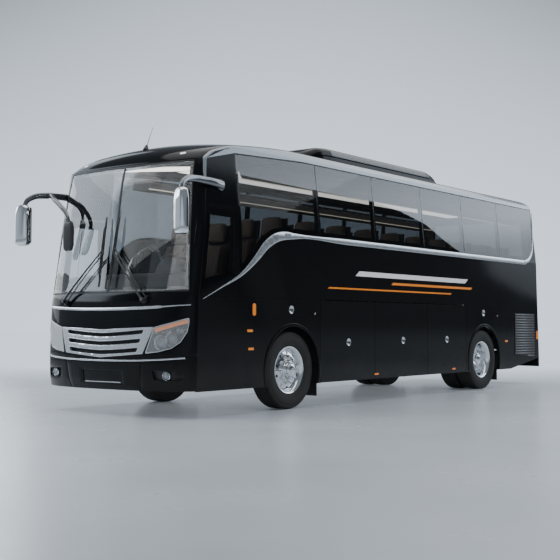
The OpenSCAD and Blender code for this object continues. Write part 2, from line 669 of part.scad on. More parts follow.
module seat_backs() color([0.35, 0.28, 0.23]) {
  for (i = [0:seat_rows - 1])
    for (s = [1, -1])
      on_side(s) seat_back(row_x(i, s), 250, inner - 40, deck_height + gap, 460, 1220);
  seat_back(lx(4080), ly(430), ly(930), platform_height + gap, 620, 1390);
}

module luggage_racks() color([0.3, 0.3, 0.31])
  for (s = [1, -1]) on_side(s)
    run_x([[side_y(lz(2960)) - wall - gap, lz(2960)], [side_y(lz(3080)) - wall - gap, lz(3080)],
      [ly(800), lz(3080)], [ly(790), lz(3030)], [ly(830), lz(2960)]], lx(-4600), lx(3250));

left_side_wall();
right_side_wall();
roof_shell();
front_shell();
front_bumper();
rear_shell();
engine_lid();
cabin_floor();
luggage_floor();
chassis_frame();
windshield();
side_windows();
rear_window();
passenger_door();
passenger_door_glass();
passenger_door_arm();
left_luggage_door_front();
left_luggage_door_middle();
left_luggage_door_rear();
right_luggage_door_front();
right_luggage_door_middle();
right_luggage_door_rear();
grille();
headlamps();
tail_lamps();
engine_block();
front_axle_beam();
left_knuckle();
right_knuckle();
rear_axle();
air_springs();
front_left_tyre();
front_right_tyre();
front_left_rim();
front_right_rim();
rear_left_tyres();
rear_right_tyres();
rear_left_rims();
rear_right_rims();
mudflaps();
exterior_mirrors();
wipers();
roof_air_conditioner();
dashboard();
steering_wheel();
seat_bases();
seat_backs();
luggage_racks();
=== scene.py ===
import bpy, bmesh, math
import numpy as np
from mathutils import Vector, Matrix
from mathutils.geometry import delaunay_2d_cdt


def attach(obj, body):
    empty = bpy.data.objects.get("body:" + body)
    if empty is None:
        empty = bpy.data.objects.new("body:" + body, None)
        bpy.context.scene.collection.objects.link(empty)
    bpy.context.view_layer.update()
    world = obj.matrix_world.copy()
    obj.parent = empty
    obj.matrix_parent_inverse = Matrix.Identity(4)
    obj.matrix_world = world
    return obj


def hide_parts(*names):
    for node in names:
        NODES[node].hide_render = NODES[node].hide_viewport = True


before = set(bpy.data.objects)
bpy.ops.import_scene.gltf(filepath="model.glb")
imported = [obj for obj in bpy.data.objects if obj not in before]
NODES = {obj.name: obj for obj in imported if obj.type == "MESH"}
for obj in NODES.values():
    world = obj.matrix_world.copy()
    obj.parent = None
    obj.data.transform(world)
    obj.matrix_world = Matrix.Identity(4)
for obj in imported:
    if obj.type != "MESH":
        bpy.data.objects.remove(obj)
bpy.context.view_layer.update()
scene = bpy.context.scene

# ---------------------------------------------------------------- camera, stage and light
cam = bpy.data.objects.new("camera", bpy.data.cameras.new("camera"))
scene.collection.objects.link(cam)
cam.data.lens, cam.data.sensor_width, cam.data.clip_end = 66.465, 36.0, 200.0
cam.location = (13.3706, 9.2713, 1.0696)
yaw, pitch = math.radians(217.680), math.radians(2.544)
view = Vector((math.cos(yaw) * math.cos(pitch), math.sin(yaw) * math.cos(pitch), math.sin(pitch)))
cam.rotation_euler = view.to_track_quat("-Z", "Y").to_euler()
scene.camera = cam


def nodes_of(m):
    m.use_nodes = True
    nt = m.node_tree
    b = nt.nodes["Principled BSDF"]
    return nt, b


def mat(name, color, rough=0.4, metal=0.0, vary=0.0, scale=6.0, rough_vary=0.0, bump=0.0, bump_scale=200.0,
        alpha=None, coat=0.0, spec=0.5, color2=None, emit=None, sheen=0.0, stretch=None, grime=0.0, ior=1.5,
        coat_rough=0.03, voronoi=False, fresnel=0.0, wear=0.0, trans=0.0):
    m = bpy.data.materials.new(name)
    nt, b = nodes_of(m)
    N, L = nt.nodes.new, nt.links.new
    b.inputs["Metallic"].default_value = metal
    b.inputs["Roughness"].default_value = rough
    b.inputs["Specular IOR Level"].default_value = spec
    b.inputs["IOR"].default_value = ior
    b.inputs["Transmission Weight"].default_value = trans
    b.inputs["Coat Weight"].default_value = coat
    b.inputs["Coat Roughness"].default_value = coat_rough
    b.inputs["Sheen Weight"].default_value = sheen
    b.inputs["Base Color"].default_value = (*color, 1)
    tc = N("ShaderNodeTexCoord")
    src = tc.outputs["Object"]
    if stretch:
        mp = N("ShaderNodeMapping")
        mp.inputs["Scale"].default_value = stretch
        L(src, mp.inputs["Vector"])
        src = mp.outputs["Vector"]
    if vary or color2 or rough_vary:
        nz = N("ShaderNodeTexNoise")
        nz.inputs["Scale"].default_value = scale
        nz.inputs["Detail"].default_value = 5
        L(src, nz.inputs["Vector"])
        c2 = color2 or tuple(min(1, c * (1 + vary)) for c in color)
        ramp = N("ShaderNodeMix")
        ramp.data_type = "RGBA"
        ramp.inputs["A"].default_value = (*color, 1)
        ramp.inputs["B"].default_value = (*c2, 1)
        L(nz.outputs["Fac"], ramp.inputs["Factor"])
        out = ramp.outputs["Result"]
        if grime:
            sep = N("ShaderNodeSeparateXYZ")
            L(tc.outputs["Object"], sep.inputs[0])
            mr = N("ShaderNodeMapRange")
            mr.inputs["From Min"].default_value = 0.9
            mr.inputs["From Max"].default_value = 0.25
            mr.inputs["To Max"].default_value = grime
            L(sep.outputs["Z"], mr.inputs["Value"])
            ml = N("ShaderNodeMath")
            ml.operation = "MULTIPLY"
            L(mr.outputs[0], ml.inputs[0])
            L(nz.outputs["Fac"], ml.inputs[1])
            g = N("ShaderNodeMix")
            g.data_type = "RGBA"
            g.inputs["B"].default_value = (0.16, 0.15, 0.14, 1)
            L(out, g.inputs["A"])
            L(ml.outputs[0], g.inputs["Factor"])
            out = g.outputs["Result"]
        if wear:
            geo = N("ShaderNodeNewGeometry")
            cr = N("ShaderNodeMapRange")
            cr.inputs["From Min"].default_value = 0.52
            cr.inputs["From Max"].default_value = 0.62
            cr.inputs["To Max"].default_value = wear
            L(geo.outputs["Pointiness"], cr.inputs["Value"])
            w = N("ShaderNodeMix")
            w.data_type = "RGBA"
            w.inputs["B"].default_value = (*[min(1, c * 2.2 + 0.03) for c in color], 1)
            L(out, w.inputs["A"])
            L(cr.outputs[0], w.inputs["Factor"])
            out = w.outputs["Result"]
        L(out, b.inputs["Base Color"])
        if rough_vary:
            rr = N("ShaderNodeMapRange")
            rr.inputs["To Min"].default_value = max(0.01, rough - rough_vary)
            rr.inputs["To Max"].default_value = rough + rough_vary
            L(nz.outputs["Fac"], rr.inputs["Value"])
            L(rr.outputs[0], b.inputs["Roughness"])
    if bump:
        t = N("ShaderNodeTexVoronoi") if voronoi else N("ShaderNodeTexNoise")
        t.inputs["Scale"].default_value = bump_scale
        if not voronoi:
            t.inputs["Detail"].default_value = 3
        L(src, t.inputs["Vector"])
        bp = N("ShaderNodeBump")
        bp.inputs["Strength"].default_value = bump
        bp.inputs["Distance"].default_value = 0.002
        L(t.outputs["Distance" if voronoi else "Fac"], bp.inputs["Height"])
        L(bp.outputs["Normal"], b.inputs["Normal"])
    if emit:
        b.inputs["Emission Color"].default_value = (*emit[0], 1)
        b.inputs["Emission Strength"].default_value = emit[1]
    if alpha is not None:
        b.inputs["Alpha"].default_value = alpha
        if fresnel:
            fr = N("ShaderNodeFresnel")
            fr.inputs["IOR"].default_value = 1.5
            mr = N("ShaderNodeMapRange")
            mr.inputs["From Min"].default_value = 0.04
            mr.inputs["From Max"].default_value = 0.8
            mr.inputs["To Min"].default_value = alpha
            mr.inputs["To Max"].default_value = fresnel
            L(fr.outputs[0], mr.inputs["Value"])
            L(mr.outputs[0], b.inputs["Alpha"])
    return m


M = {}
M["paint"] = mat("paint_black", (0.0030, 0.0034, 0.0042), 0.07, spec=0.12, coat=0.0, vary=0.5, scale=3,
                 rough_vary=0.02, bump=0.02, bump_scale=900, grime=0.12, wear=0.2)
M["inner"] = mat("lining_grey", (0.16, 0.15, 0.145), 0.85, vary=0.2, scale=30, bump=0.3, bump_scale=700,
                 rough_vary=0.05)
M["glass"] = mat("glass_dark", (0.30, 0.32, 0.335), 0.006, trans=1.0, vary=0.06, scale=2, rough_vary=0.004)
M["glass_mid"] = mat("glass_mid", (0.62, 0.65, 0.66), 0.006, trans=1.0, vary=0.05, scale=2, rough_vary=0.004)
M["screen"] = mat("glass_clear", (0.78, 0.81, 0.82), 0.004, trans=1.0, vary=0.04, scale=2, rough_vary=0.003)
M["frit"] = mat("frit_black", (0.004, 0.004, 0.0045), 0.12, vary=0.3, scale=40, rough_vary=0.03, spec=0.5)
M["chrome"] = mat("chrome", (0.72, 0.73, 0.75), 0.07, 1.0, vary=0.1, scale=8, rough_vary=0.03)
M["satin"] = mat("satin_silver", (0.55, 0.56, 0.58), 0.26, 1.0, vary=0.12, scale=20, rough_vary=0.05, bump=0.02,
                 bump_scale=400)
M["silver"] = mat("silver_trim", (0.56, 0.58, 0.60), 0.24, 0.85, vary=0.12, scale=12, rough_vary=0.04, bump=0.015,
                  bump_scale=500, coat=0.3)
M["rim"] = mat("polished_alloy", (0.74, 0.75, 0.77), 0.12, 1.0, vary=0.15, scale=14, rough_vary=0.05, bump=0.015,
               bump_scale=500, wear=0.1)
M["steel"] = mat("cast_grey", (0.09, 0.09, 0.095), 0.55, 0.6, vary=0.6, scale=25, rough_vary=0.12, bump=0.25,
                 bump_scale=160, wear=0.3)
M["frame"] = mat("frame_black", (0.02, 0.02, 0.021), 0.5, vary=0.6, scale=12, rough_vary=0.1, bump=0.12,
                 bump_scale=220, wear=0.3)
M["tyre"] = mat("tyre_rubber", (0.012, 0.012, 0.0125), 0.72, vary=0.9, scale=18, rough_vary=0.1, bump=0.3,
                bump_scale=420, color2=(0.028, 0.027, 0.026), spec=0.35)
M["rubber"] = mat("black_rubber", (0.012, 0.012, 0.012), 0.6, vary=0.5, scale=30, rough_vary=0.08, bump=0.15,
                  bump_scale=500)
M["plastic"] = mat("black_plastic", (0.012, 0.012, 0.013), 0.38, vary=0.4, scale=20, rough_vary=0.06, bump=0.12,
                   bump_scale=800, voronoi=True)
M["dash"] = mat("dash_plastic", (0.035, 0.034, 0.034), 0.55, vary=0.3, scale=14, rough_vary=0.08, bump=0.25,
                bump_scale=700, voronoi=True)
M["leather"] = mat("leather_brown", (0.075, 0.047, 0.034), 0.42, color2=(0.13, 0.088, 0.064), scale=9, rough_vary=0.09,
                   bump=0.35, bump_scale=420, voronoi=True, sheen=0.05, wear=0.25)
M["leather2"] = mat("leather_taupe", (0.16, 0.12, 0.095), 0.45, color2=(0.24, 0.185, 0.15), scale=9, rough_vary=0.08,
                    bump=0.35, bump_scale=420, voronoi=True, sheen=0.05, wear=0.2)
M["carpet"] = mat("floor_cover", (0.045, 0.045, 0.05), 0.92, vary=0.8, scale=240, rough_vary=0.04, bump=0.5,
                  bump_scale=900)
M["lens"] = mat("lens_clear", (0.75, 0.78, 0.8), 0.03, spec=0.7, alpha=0.14, fresnel=0.9, vary=0.05, scale=10)
M["reflector"] = mat("lamp_reflector", (0.82, 0.83, 0.85), 0.12, 1.0, vary=0.1, scale=20, rough_vary=0.05)
M["projector"] = mat("projector_glass", (0.16, 0.18, 0.2), 0.02, 0.2, spec=1.0, coat=1.0, vary=0.3, scale=6,
                     rough_vary=0.01)
M["amber"] = mat("amber_lens", (0.72, 0.20, 0.01), 0.12, spec=0.6, coat=0.6, vary=0.25, scale=60, rough_vary=0.04,
                 bump=0.25, bump_scale=260, voronoi=True, emit=((0.9, 0.25, 0.01), 0.18))
M["red"] = mat("red_lens", (0.42, 0.008, 0.006), 0.12, spec=0.6, coat=0.6, vary=0.25, scale=60, rough_vary=0.04,
               bump=0.25, bump_scale=260, voronoi=True, emit=((0.6, 0.01, 0.01), 0.06))
M["mesh"] = mat("grille_mesh", (0.006, 0.006, 0.007), 0.5, vary=0.5, scale=60, rough_vary=0.1, bump=0.9,
                bump_scale=110, voronoi=True)
M["mirror"] = mat("mirror_glass", (0.8, 0.81, 0.82), 0.02, 1.0, vary=0.03, scale=4, rough_vary=0.008)
M["orange"] = mat("stripe_orange", (0.85, 0.24, 0.015), 0.25, coat=0.4, vary=0.15, scale=12, rough_vary=0.04)
M["white"] = mat("stripe_white", (0.8, 0.8, 0.8), 0.25, coat=0.4, vary=0.05, scale=12, rough_vary=0.04)
M["steelwheel"] = mat("hub_dark", (0.06, 0.06, 0.065), 0.4, 0.7, vary=0.5, scale=30, rough_vary=0.1, bump=0.1,
                      bump_scale=300)

M["band"] = mat("band_grey", (0.23, 0.255, 0.28), 0.24, 0.35, vary=0.12, scale=5, rough_vary=0.04, coat=0.5, bump=0.01,
                bump_scale=700)
M["unit"] = mat("unit_grey", (0.15, 0.165, 0.18), 0.5, spec=0.3, vary=0.12, scale=6, rough_vary=0.05, bump=0.02)
M["arm"] = mat("arm_gloss", (0.13, 0.14, 0.15), 0.16, 0.75, vary=0.3, scale=9, rough_vary=0.04, coat=0.3)
M["lens_white"] = mat("lens_white", (0.75, 0.77, 0.78), 0.15, vary=0.1, scale=40, rough_vary=0.04, coat=0.5,
                      emit=((1, 1, 1), 0.4))
M["glow"] = mat("lamp_glow", (0.9, 0.85, 0.75), 0.4, vary=0.1, scale=30, rough_vary=0.05, emit=((1.0, 0.88, 0.70), 0.7))

# floor, backdrop and light
def math_node(nt, op, a, b=None, clamp=False):
    n = nt.nodes.new("ShaderNodeMath")
    n.operation, n.use_clamp = op, clamp
    for i, v in enumerate((a, b)):
        if v is None:
            continue
        if isinstance(v, (int, float)):
            n.inputs[i].default_value = v
        else:
            nt.links.new(v, n.inputs[i])
    return n.outputs[0]


def span(nt, v, a, b, lo=0.0, hi=1.0, kind="SMOOTHSTEP"):
    n = nt.nodes.new("ShaderNodeMapRange")
    n.interpolation_type = kind
    for k, q in zip(("From Min", "From Max", "To Min", "To Max"), (a, b, lo, hi)):
        n.inputs[k].default_value = q
    nt.links.new(v, n.inputs["Value"])
    return n.outputs[0]


def dot(nt, v, vec):
    n = nt.nodes.new("ShaderNodeVectorMath")
    n.operation = "DOT_PRODUCT"
    nt.links.new(v, n.inputs[0])
    n.inputs[1].default_value = vec
    return n.outputs["Value"]


def polar(az, el=0.0):
    a, e = math.radians(az), math.radians(el)
    return Vector((math.cos(a) * math.cos(e), math.sin(a) * math.cos(e), math.sin(e)))


world = bpy.data.worlds.new("studio")
scene.world = world
world.use_nodes = True
wt = world.node_tree
bg = wt.nodes["Background"]
gen = wt.nodes.new("ShaderNodeTexCoord").outputs["Generated"]
z_ = dot(wt, gen, (0, 0, 1))
u_ = dot(wt, gen, polar(127.68))
z2, u2 = math_node(wt, "MULTIPLY", z_, z_), math_node(wt, "MULTIPLY", u_, u_)
lum = math_node(wt, "SUBTRACT", 1.32, math_node(wt, "MULTIPLY", z2, 5.7))
lum = math_node(wt, "SUBTRACT", lum, math_node(wt, "MULTIPLY", u2, 1.1))
lum = math_node(wt, "SUBTRACT", lum, math_node(wt, "MULTIPLY", math_node(wt, "MULTIPLY", z2, u2), 42.0))
lum = math_node(wt, "MAXIMUM", lum, 0.42)
lum = math_node(wt, "ADD", lum, span(wt, dot(wt, gen, polar(-60)), 0.55, 0.95, 0.0, 0.6))
ray = wt.nodes.new("ShaderNodeLightPath")
lum = math_node(wt, "MULTIPLY", lum, span(wt, ray.outputs["Is Camera Ray"], 0.0, 1.0, 0.56, 1.0, "LINEAR"))
seen = span(wt, ray.outputs["Is Camera Ray"], 0.0, 1.0, 0.0, 1.0, "LINEAR")
dark = math_node(wt, "MULTIPLY", span(wt, dot(wt, gen, polar(138)), 0.72, 0.94), span(wt, z_, 0.20, 0.32, 1.0, 0.0))
lum = math_node(wt, "MULTIPLY", lum, math_node(wt, "SUBTRACT", 1.0,
                                               math_node(wt, "MULTIPLY", dark,
                                                         span(wt, seen, 0, 1, 0.80, 0.0, "LINEAR"))))
tint = wt.nodes.new("ShaderNodeVectorMath")
tint.operation = "SCALE"
tint.inputs[0].default_value = (0.865, 0.98, 1.11)
wt.links.new(lum, tint.inputs["Scale"])
wt.links.new(tint.outputs[0], bg.inputs["Color"])
bg.inputs["Strength"].default_value = 1.0

fm = mat("floor_pale", (0.53, 0.58, 0.63), 0.26, vary=0.07, scale=0.55, rough_vary=0.07, bump=0.02, bump_scale=30,
         spec=0.36)
nt = fm.node_tree
far = nt.nodes.new("ShaderNodeEmission")
far.inputs["Color"].default_value = (0.865, 0.98, 1.11, 1)
ray = nt.nodes.new("ShaderNodeLightPath")
nt.links.new(span(nt, ray.outputs["Is Camera Ray"], 0.0, 1.0, 0.36, 1.22, "LINEAR"), far.inputs["Strength"])
mixs = nt.nodes.new("ShaderNodeMixShader")
oc = nt.nodes.new("ShaderNodeTexCoord").outputs["Object"]
away = dot(nt, oc, (view.x, view.y, 0))
rad = nt.nodes.new("ShaderNodeVectorMath")
rad.operation = "LENGTH"
nt.links.new(oc, rad.inputs[0])
nt.links.new(math_node(nt, "MAXIMUM", span(nt, away, 1.5, 12.0), span(nt, rad.outputs["Value"], 15.0, 26.0)),
             mixs.inputs["Fac"])
nt.links.new(nt.nodes["Principled BSDF"].outputs[0], mixs.inputs[1])
nt.links.new(far.outputs[0], mixs.inputs[2])
nt.links.new(mixs.outputs[0], nt.nodes["Material Output"].inputs["Surface"])
FLOOR_RADIUS = 150
bm_ = bmesh.new()
bmesh.ops.create_circle(bm_, cap_ends=True, segments=128, radius=FLOOR_RADIUS)
fme = bpy.data.meshes.new("floor")
bm_.to_mesh(fme)
floor = bpy.data.objects.new("floor", fme)
scene.collection.objects.link(floor)
fme.materials.append(fm)

# large soft card to the rear left: its curved lower edge is what the side glass mirrors
EDGE = [((4.6, 1.19, 3.0), 137.5, 16.4), ((3.74, 1.19, 2.92), 141.6, 14.9), ((2.48, 1.19, 2.89), 145.0, 13.7),
        ((1.67, 1.19, 2.89), 146.9, 13.0), ((0.73, 1.19, 2.87), 148.9, 12.3), ((-0.04, 1.2, 2.79), 150.4, 11.5),
        ((-0.78, 1.21, 2.66), 151.6, 10.6), ((-1.38, 1.23, 2.45), 152.5, 9.5), ((-1.86, 1.25, 2.28), 153.2, 8.8),
        ((-2.3, 1.25, 2.1), 153.5, 5.5), ((-2.94, 1.25, 1.95), 153.8, 2.8), ((-4.15, 1.25, 1.69), 155.4, 1.8),
        ((-4.93, 1.25, 1.56), 156.3, 1.4), ((-5, 1.2, 1.5), 168, 1.2)]


CARD_AWAY = 40   # metres from the glass to the card


def soft_card(name, edge, top, power):
    """A glossy-only emissive card 40 m out: edge is its lower rim as (seen from, azimuth, elevation)."""
    cv = [Vector(p) + polar(az, el + (top - el) * (k / 8)**1.5) * CARD_AWAY for p, az, el in edge for k in range(9)]
    cf = [(i * 9 + k, i * 9 + k + 1, i * 9 + k + 10, i * 9 + k + 9) for i in range(len(edge) - 1) for k in range(8)]
    me = bpy.data.meshes.new(name)
    me.from_pydata(cv, [], cf)
    o = bpy.data.objects.new(name, me)
    scene.collection.objects.link(o)
    m = bpy.data.materials.new(name + "_glow")
    m.use_nodes = True
    t = m.node_tree
    t.nodes.clear()
    e, out = t.nodes.new("ShaderNodeEmission"), t.nodes.new("ShaderNodeOutputMaterial")
    t.links.new(e.outputs[0], out.inputs["Surface"])
    t.links.new(power(t, t.nodes.new("ShaderNodeTexCoord").outputs["Object"]), e.inputs["Strength"])
    e.inputs["Color"].default_value = (0.865, 0.98, 1.11, 1)
    me.materials.append(m)
    o.visible_camera = o.visible_diffuse = o.visible_shadow = o.visible_transmission = False


def side_power(t, oc):
    z = dot(t, oc, (0, 0, 1))
    s = math_node(t, "ADD", span(t, z, 2.0, 8.5, 0.5, 1.5), span(t, z, 8.2, 10.4, 0.0, 1.5))
    return math_node(t, "MULTIPLY", math_node(t, "SUBTRACT", s, span(t, z, 10.8, 14.0, 0.0, 0.9)), 1.25)


def screen_power(t, oc):
    v = t.nodes.new("ShaderNodeVectorMath")
    v.operation = "SUBTRACT"
    t.links.new(oc, v.inputs[0])
    v.inputs[1].default_value = (4.95, 0, 2.2)
    az = math_node(t, "ARCTAN2", dot(t, v.outputs[0], (0, 1, 0)), dot(t, v.outputs[0], (1, 0, 0)))
    a = math.radians
    full = math_node(t, "MULTIPLY", span(t, az, a(-100), a(-64), 1.2, 5.4, "LINEAR"),
                     span(t, az, a(-52.5), a(-49.5), 1.0, 0.0))
    return math_node(t, "ADD", full, span(t, az, a(-50), a(-38), 0.45, 0.0))


soft_card("side_card", EDGE, 40, side_power)
RIM = ((-126, 3), (-112, 4), (-102, 5.5), (-91, 7.8), (-80, 9.8), (-72, 11.6), (-65, 13), (-60, 14.2), (-57, 14.8),
       (-54, 15.4), (-51, 16), (-47, 16.6), (-42, 17), (-36, 17.4))
soft_card("screen_card", [((4.95, 0, 2.2), az, el) for az, el in RIM], 36, screen_power)


def area_light(name, loc, target, size, size_y, power, color=(1, 1, 1), glossy=True):
    ld = bpy.data.lights.new(name, "AREA")
    ld.shape, ld.size, ld.size_y, ld.energy, ld.color = "RECTANGLE", size, size_y, power, color
    o = bpy.data.objects.new(name, ld)
    scene.collection.objects.link(o)
    o.location = loc
    o.rotation_euler = (Vector(target) - Vector(loc)).to_track_quat("-Z", "Y").to_euler()
    o.visible_camera = False
    o.visible_glossy = glossy
    return o


area_light("top_soft", (-3, 0, 9.5), (-3, 0, 0), 24, 9, 1100)
area_light("left_soft", (5, 12, 6.0), (0, 0, 1.0), 12, 4, 480, glossy=False)
area_light("near_floor", (10, -5, 7.0), (8.5, -5, 0), 9, 9, 520, glossy=False)
area_light("far_floor", (-6, 9, 7.0), (-6, 8, 0), 12, 6, 520, glossy=False)
area_light("right_soft", (2, -13, 4.5), (4, 0, 1.6), 12, 5, 300)
area_light("front_soft", (14, 0, 5.0), (4, 0, 1.4), 6, 3, 200, glossy=False)
area_light("under_fill", (0.0, 0, 0.29), (0, 0, -1), 9.0, 2.1, 24, glossy=False)
area_light("cabin_fill", (-0.6, 0, 3.15), (-0.6, 0, 0), 7.6, 0.7, 36, (1.0, 0.95, 0.88), glossy=False)
area_light("cab_fill", (4.0, 0.1, 3.05), (3.6, 0.1, 0), 0.7, 1.6, 10, (1.0, 0.96, 0.9), glossy=False)

# ---------------------------------------------------------------- making pieces
def sharp(me, angle):
    me.polygons.foreach_set("use_smooth", [True] * len(me.polygons))
    me.set_sharp_from_angle(angle=math.radians(angle))


def piece(name, verts, faces, m, body="body", slot=None, smooth=32, bevel=0.0, idx=None, mats=None, rep=(), segs=2,
          sub=0):
    me = bpy.data.meshes.new(name)
    me.from_pydata([tuple(v) for v in verts], [], [tuple(f) for f in faces])
    keys = mats or [m]
    for k in keys:
        me.materials.append(M[k])
    if idx is not None:
        me.polygons.foreach_set("material_index", list(idx))
    me.validate()
    o = bpy.data.objects.new(name, me)
    scene.collection.objects.link(o)
    if sub:
        md = o.modifiers.new("sub", "SUBSURF")
        md.levels = md.render_levels = sub
    if bevel:
        md = o.modifiers.new("bevel", "BEVEL")
        md.width, md.segments, md.limit_method, md.angle_limit = bevel, segs, "ANGLE", math.radians(40)
        md.harden_normals = False
    if sub or bevel:
        bake(o)
    sharp(o.data, smooth)
    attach(o, body)
    if rep:
        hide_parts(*rep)
    return o


def bake(o):
    dg = bpy.context.evaluated_depsgraph_get()
    me = bpy.data.meshes.new_from_object(o.evaluated_get(dg))
    o.modifiers.clear()
    old = o.data
    o.data = me
    bpy.data.meshes.remove(old)


class Geo:
    """Gathers simple solids into one mesh."""

    def __init__(self):
        self.v, self.f, self.i = [], [], []

    def add(self, verts, faces, i=0):
        n = len(self.v)
        self.v += [Vector(p) for p in verts]
        self.f += [[n + k for k in f] for f in faces]
        self.i += [i] * len(faces)
        return self

    def box(self, a, b, i=0, mtx=None):
        x0, y0, z0 = a
        x1, y1, z1 = b
        vs = [Vector(p) for p in ((x0, y0, z0), (x1, y0, z0), (x1, y1, z0), (x0, y1, z0),
                                  (x0, y0, z1), (x1, y0, z1), (x1, y1, z1), (x0, y1, z1))]
        if mtx:
            vs = [mtx @ p for p in vs]
        return self.add(vs, [(0, 3, 2, 1), (4, 5, 6, 7), (0, 1, 5, 4), (1, 2, 6, 5), (2, 3, 7, 6), (3, 0, 4, 7)], i)

    def tube(self, path, r, i=0, n=12, closed=False, caps=True):
        path = [Vector(p) for p in path]
        rs = r if isinstance(r, (list, tuple)) else [r] * len(path)
        rings, prev = [], None
        for k, p in enumerate(path):
            a = path[(k - 1) % len(path)] if (k or closed) else p
            b = path[(k + 1) % len(path)] if (k < len(path) - 1 or closed) else p
            t = (b - a).normalized()
            if prev is None:
                u = t.orthogonal().normalized()
            else:
                u = (prev - t * prev.dot(t)).normalized()
            prev = u
            w = t.cross(u)
            rings.append([p + (u * math.cos(2 * math.pi * j / n) + w * math.sin(2 * math.pi * j / n)) * rs[k]
                          for j in range(n)])
        vs = [q for rg in rings for q in rg]
        fs = []
        m = len(rings)
        for k in range(m if closed else m - 1):
            for j in range(n):
                a, b = k * n + j, k * n + (j + 1) % n
                c, d = ((k + 1) % m) * n + (j + 1) % n, ((k + 1) % m) * n + j
                fs.append((a, b, c, d))
        if caps and not closed:
            fs.append(tuple(range(n - 1, -1, -1)))
            fs.append(tuple((m - 1) * n + j for j in range(n)))
        return self.add(vs, fs, i)

    def revolve(self, prof, at, axis, i=0, n=48, start=None):
        """prof is (radius, height) pairs along axis; closed when the ends are on the axis or meet."""
        ax = Vector(axis).normalized()
        u = Vector(start).normalized() if start else ax.orthogonal().normalized()
        w = ax.cross(u)
        at = Vector(at)
        vs, fs, ids = [], [], []
        for r, h in prof:
            if r < 1e-6:
                ids.append([len(vs)])
                vs.append(at + ax * h)
            else:
                ids.append([len(vs) + j for j in range(n)])
                vs += [at + ax * h + (u * math.cos(2 * math.pi * j / n) + w * math.sin(2 * math.pi * j / n)) * r
                       for j in range(n)]
        for a, b in zip(ids[:-1], ids[1:]):
            for j in range(n):
                k = (j + 1) % n
                if len(a) == 1 and len(b) == 1:
                    continue
                if len(a) == 1:
                    fs.append((a[0], b[k], b[j]))
                elif len(b) == 1:
                    fs.append((a[j], a[k], b[0]))
                else:
                    fs.append((a[j], a[k], b[k], b[j]))
        return self.add(vs, fs, i)

    def made(self, name, m, **k):
        if max(self.i, default=0) and "mats" in k:
            k["idx"] = self.i
        return piece(name, self.v, self.f, m, **k)


# ---------------------------------------------------------------- body surface
RAW = np.array([
    [310, 1250, 4810, 4530, -5000, -4945, 0], [400, 1250, 4850, 4530, -5026, -4945, 0],
    [560, 1250, 4875, 4530, -5030, -4945, 0], [650, 1250, 4880, 4530, -5030, -4940, 0],
    [1030, 1250, 4850, 4530, -5030, -4920, 0], [1370, 1250, 4800, 4530, -5022, -4900, 0],
    [1450, 1250, 4780, 4519, -5018, -4895, 0], [2240, 1250, 4632, 4416, -4990, -4860, 0],
    [3050, 1177.1, 4480, 4310, -4955, -4824, 0], [3150, 1168.1, 4410, 4160, -4945, -4819, 0.1],
    [3240, 1160, 4280, 3860, -4930, -4815, 0.15], [3300, 1150, 4120, 3325, -4905, -4770, 0.4],
    [3345, 1122, 3935, 2750, -4860, -4700, 0.7], [3375, 1075, 3740, 2360, -4790, -4600, 0.9],
    [3395, 1010, 3610, 2300, -4700, -4480, 1], [3410, 900, 3485, 2250, -4600, -4360, 1],
    [3424, 760, 3330, 2200, -4470, -4240, 1], [3435, 600, 3180, 2170, -4330, -4120, 1],
    [3444, 400, 2970, 2140, -4150, -3980, 1], [3450, 60, 2700, 2110, -3900, -3800, 1]]) / 1000.0
RAW[:, 6] *= 1000


def pchip(x, y):
    h, d = np.diff(x), np.diff(y) / np.diff(x)
    m = np.zeros(len(x))
    m[0], m[-1] = d[0], d[-1]
    for i in range(1, len(x) - 1):
        if d[i - 1] * d[i] > 0:
            w1, w2 = 2 * h[i] + h[i - 1], h[i] + 2 * h[i - 1]
            m[i] = (w1 + w2) / (w1 / d[i - 1] + w2 / d[i])

    def f(q):
        k = np.clip(np.searchsorted(x, q) - 1, 0, len(h) - 1)
        t = (q - x[k]) / h[k]
        return ((2 * t**3 - 3 * t**2 + 1) * y[k] + (t**3 - 2 * t**2 + t) * h[k] * m[k]
                + (-2 * t**3 + 3 * t**2) * y[k + 1] + (t**3 - t**2) * h[k] * m[k + 1])
    return f


ZR = RAW[:, 0]
S = np.concatenate([[0], np.cumsum(np.sqrt(np.diff(ZR)**2 + np.diff(RAW[:, 1])**2 + 0.2 * np.diff(RAW[:, 2])**2))])
S_EAVE = S[10]
smooth_cols = [pchip(S, RAW[:, k]) for k in range(7)]
nose_z = pchip(ZR[:11], RAW[:11, 2])


CORNER_POWER = 0.909   # how full the plan corners are: 1 is an ellipse


def row_s(s):
    """half width, nose, nose corner, tail, tail corner, height at arc place s"""
    if s <= S_EAVE:
        z = float(np.interp(s, S, ZR))
        return [z] + [float(np.interp(z, ZR[:11], RAW[:11, 1])), float(nose_z(z))] + \
            [float(np.interp(z, ZR[:11], RAW[:11, k])) for k in (3, 4, 5)]
    return [float(smooth_cols[k](s)) for k in range(6)]


def s_of_z(z):
    return float(np.interp(z, ZR, S))


def nose_pt(a, s):
    z, w, nose, nc, _, _ = row_s(s)
    sg = 1 if a >= 0 else -1
    t = min(1, abs(a)) * math.pi / 2
    return Vector((nc + (nose - nc) * max(0, math.cos(t))**CORNER_POWER, w * sg * math.sin(t)**CORNER_POWER, z))


def tail_pt(a, s):
    z, w, _, _, tail, tcn = row_s(s)
    sg = 1 if a >= 0 else -1
    t = min(1, abs(a)) * math.pi / 2
    return Vector((tcn + (tail - tcn) * max(0, math.cos(t))**CORNER_POWER, w * sg * math.sin(t)**CORNER_POWER, z))


K = 1.35


